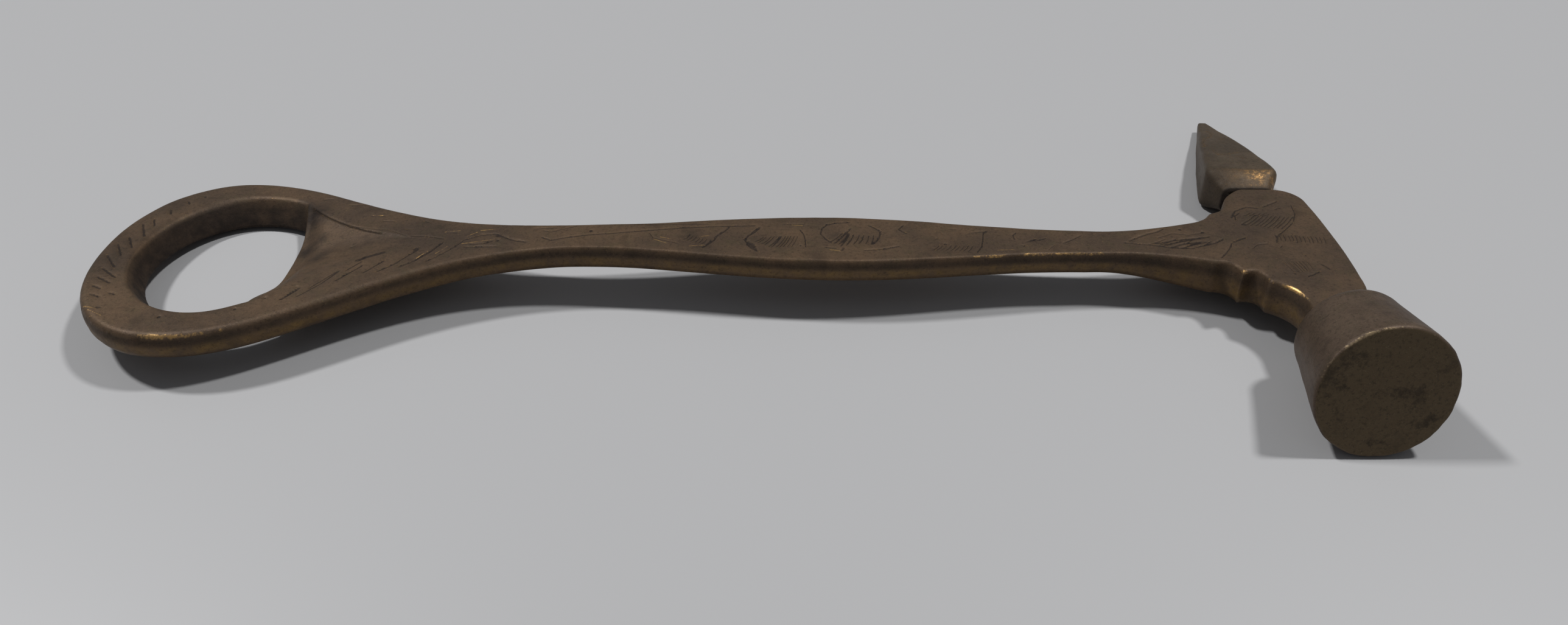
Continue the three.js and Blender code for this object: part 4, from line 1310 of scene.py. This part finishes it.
def patinated_brass(name, warm, dark, olive, bare_and_highlight, reflection_tint, streak_scale=(1.0, 1.0, 1.0), face=None):
    tree = Tree(name)
    place = tree.add("ShaderNodeTexCoord").outputs["Object"]
    slow = tree.noise(place, 90.0, 4.0)
    middling = tree.noise(place, 420.0, 5.0, 0.65)
    fine = tree.noise(place, 1900.0, 4.0, 0.7)
    grains = tree.noise(place, 5200.0, 2.0, 0.6)
    stretched = tree.add("ShaderNodeMapping", Vector=place)
    stretched.inputs["Scale"].default_value = streak_scale
    streaks = tree.noise(stretched.outputs[0], 1300.0, 3.0, 0.6)
    shade_and_stain = tree.mask("shade_and_stain")
    groove = tree.mask("groove")

    base = tree.mix(tree.ramp(slow, 0.35, 0.65), dark, warm)
    base = tree.mix(tree.part(0.5, middling, 0.45, 0.75), base, olive)
    # Painted reflection: a golden tint where a surface would reflect the lit table or a lamp.
    base = tree.mix(tree.times(tree.mask("painted_reflection"), tree.ramp(middling, 0.2, 0.85)), base, reflection_tint)
    if face:
        on_face = tree.mask("face")
        base = tree.mix(on_face, base, face)
        blotch = tree.ramp(tree.noise(place, 210.0, 5.0, 0.7), 0.55, 0.66)
        shade_and_stain = tree.times(tree.times(blotch, on_face), 0.5)
    mottle = tree.part(0.42, fine, 0.48, 0.7)
    smudge = tree.times(tree.ramp(tree.noise(place, 260.0, 4.0, 0.7), 0.52, 0.68), 0.28)
    base = tree.mix(tree.maths("MAXIMUM", mottle, smudge), base, SHADE_AND_STAIN_COLOUR)
    speckle = tree.part(0.16, grains, 0.6, 0.75)
    base = tree.mix(speckle, base, bare_and_highlight)
    # The shade mask paints shade into the colour, along with real stains and blotches.
    uneven = tree.part(0.35, middling, 0.25, 0.65)
    shade_and_stain = tree.times(shade_and_stain, tree.plus(uneven, 0.62))
    base = tree.mix(shade_and_stain, base, SHADE_AND_STAIN_COLOUR)

    # Bare metal where worn, and painted highlights where the mask paints them.
    patchy = tree.plus(tree.times(fine, 0.55), tree.times(middling, 0.45))
    worn_and_highlight = tree.ramp(tree.plus(tree.times(tree.mask("wear_and_highlight"), 0.5), patchy), 0.66, 0.9)
    burr = tree.times(groove, tree.maths("SUBTRACT", 1.0, groove))
    burr = tree.ramp(tree.plus(burr, tree.times(fine, 0.9)), 0.68, 0.78)
    base = tree.mix(tree.times(burr, 0.14), base, bare_and_highlight)
    base = tree.mix(worn_and_highlight, base, bare_and_highlight)
    dirt = tree.plus(tree.part(0.3, fine, 0.3, 0.6), 0.6)
    base = tree.mix(tree.part(dirt, groove, 0.1, 1.0), base, GROOVE_COLOUR)

    rough = tree.plus(tree.times(streaks, 0.24), 0.4)
    rough = tree.maths("SUBTRACT", rough, tree.times(worn_and_highlight, 0.16))
    dull = tree.maths("MAXIMUM", groove, shade_and_stain)
    rough = tree.plus(rough, tree.times(dull, 0.25))
    metal = tree.plus(0.4, tree.times(worn_and_highlight, 0.5))
    metal = tree.maths("SUBTRACT", metal, tree.times(dull, 0.3))

    relief = tree.plus(tree.times(fine, 0.6), tree.times(streaks, 0.4))
    bump = tree.add("ShaderNodeBump", Height=relief, Strength=0.5, Distance=0.00014)
    grit = tree.add("ShaderNodeBump", Height=grains, Strength=0.4, Distance=0.00005, Normal=bump.outputs[0])
    shader = tree.surface(base, Roughness=rough, Metallic=metal, Normal=grit.outputs[0])
    shader.inputs["Specular IOR Level"].default_value = 0.25
    return tree.material


cast_brass = patinated_brass(
    "cast_brass_patina", warm=colour(103, 83, 64), dark=colour(85, 70, 57), olive=colour(84, 74, 54),
    bare_and_highlight=colour(206, 166, 108), reflection_tint=colour(128, 101, 60), streak_scale=(0.25, 1.0, 1.0),
)
turned_brass = patinated_brass(
    "turned_brass_patina", warm=colour(100, 84, 70), dark=colour(83, 69, 58), olive=colour(79, 70, 54),
    bare_and_highlight=colour(196, 172, 136), reflection_tint=colour(104, 88, 62), streak_scale=(1.0, 0.2, 1.0),
    face=colour(98, 83, 62),
)
filed_brass = patinated_brass(
    "filed_brass_patina", warm=colour(94, 81, 66), dark=colour(77, 67, 56), olive=colour(70, 64, 50),
    bare_and_highlight=colour(206, 160, 104), reflection_tint=colour(112, 87, 57), streak_scale=(1.0, 0.3, 1.0),
)
stud_brass = patinated_brass(
    "bare_stud_brass", warm=colour(190, 152, 84), dark=colour(168, 132, 70), olive=colour(150, 126, 70),
    bare_and_highlight=colour(220, 184, 112), reflection_tint=colour(190, 152, 84), streak_scale=(1.0, 0.1, 1.0),
)

# %% [markdown]
# ## Give every piece its finish and its body
# The hammer has no joints, so everything rides on the one body. The three modelled pieces stand
# for their CAD solids, and the hidden studs stay as they are, with bare brass.

# %% Finish and body of each piece
for piece, material, node, slot_name in [
    (bar, cast_brass, "bar", "cast_brass_bar"),
    (striker, turned_brass, "striking_head", "turned_brass_head"),
    (pick, filed_brass, "ice_pick", "cast_brass_pick"),
]:
    piece.data.materials.clear()
    piece.data.materials.append(material)
    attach(piece, "root")
    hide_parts(node)
for node in ("striking_head_stud", "pick_stud"):
    for slot in frame["nodes"][node].material_slots:
        slot.material = stud_brass
print("pieces", bar.name, striker.name, pick.name)

# %% [markdown]
# ## Floor
# The photograph shows a pale, slightly glossy table top. A large plain plane keeps the shadows.

# %% Pale table top
bpy.ops.mesh.primitive_plane_add(size=8.0, location=(0.0, 0.0, 0.0))
floor = bpy.context.object
floor.name = "table_top"
table_tree = Tree("pale_table_top")
table_tree.surface(colour(188, 188, 189), Roughness=0.42)
floor.data.materials.append(table_tree.material)
print("table top", floor.dimensions[0], "m across")

# %% [markdown]
# ## Light
# The shadows show two ceiling lights, one high to the right and one high to the left, both a
# little behind the hammer. Two soft lamps and a dim even world stand for them.

# %% Lamps and world
LAMP_DISTANCE = 1.6
LAMP_SIZE = 0.16
SKY_COLOUR = (0.93, 0.95, 1.0, 1.0)
SKY_STRENGTH = 0.13


def lamp(name, azimuth, elevation, power):
    data = bpy.data.lights.new(name, "AREA")
    data.shape = "DISK"
    data.size = LAMP_SIZE
    data.energy = power
    made = bpy.data.objects.new(name, data)
    bpy.context.scene.collection.objects.link(made)
    a, e = math.radians(azimuth), math.radians(elevation)
    way = Vector((math.cos(a) * math.cos(e), math.sin(a) * math.cos(e), math.sin(e)))
    made.location = way * LAMP_DISTANCE
    made.rotation_euler = way.to_track_quat("Z", "Y").to_euler()


lamp("right_lamp", 20.0, 60.0, 11.4)
lamp("left_lamp", 157.0, 55.0, 12.6)
world = bpy.data.worlds.new("studio")
bpy.context.scene.world = world
world.use_nodes = True
sky = world.node_tree.nodes["Background"]
sky.inputs["Color"].default_value = SKY_COLOUR
sky.inputs["Strength"].default_value = SKY_STRENGTH
bpy.context.scene.view_settings.view_transform = "Standard"
print("lamps and sky at", SKY_STRENGTH)

# %% [markdown]
# ## Camera
# The camera stands close in front of the hammer and looks down at it, as the photographer did.
# It is described in the hammer's own axes: where it looks, from which side and how far away.

# %% Camera at the photograph's viewpoint
CAMERA_TARGET = Vector((-83.3, 0.0, -12.4))
CAMERA_AZIMUTH = math.radians(-1.5)
CAMERA_ELEVATION = math.radians(34.0)
CAMERA_ROLL = math.radians(1.5)
CAMERA_DISTANCE = 209.1
FOCAL_PIXELS = 2050.0       # focal length in pixels of the photograph
PHOTO_WIDTH = 2576.0
SENSOR_WIDTH = 36.0

level_share = math.cos(CAMERA_ELEVATION)
back = Vector((math.sin(CAMERA_AZIMUTH) * level_share, -math.cos(CAMERA_AZIMUTH) * level_share,
               math.sin(CAMERA_ELEVATION)))
level_right = (-back).cross(Vector((0, 0, 1))).normalized()
level_up = level_right.cross(-back)
right = math.cos(CAMERA_ROLL) * level_right + math.sin(CAMERA_ROLL) * level_up
up = -math.sin(CAMERA_ROLL) * level_right + math.cos(CAMERA_ROLL) * level_up
camera_data = bpy.data.cameras.new("camera")
camera_data.sensor_width = SENSOR_WIDTH
camera_data.sensor_fit = "HORIZONTAL"
camera_data.lens = FOCAL_PIXELS / PHOTO_WIDTH * SENSOR_WIDTH
camera_data.clip_start = 0.01
camera = bpy.data.objects.new("camera", camera_data)
bpy.context.scene.collection.objects.link(camera)
axes = turn @ Matrix((right, up, back)).transposed()
camera.matrix_world = Matrix.Translation(laid_down @ (CAMERA_TARGET + back * CAMERA_DISTANCE)) @ axes.to_4x4()
bpy.context.scene.camera = camera
print("lens", round(camera_data.lens, 2), "camera at", [round(v, 3) for v in camera.location])
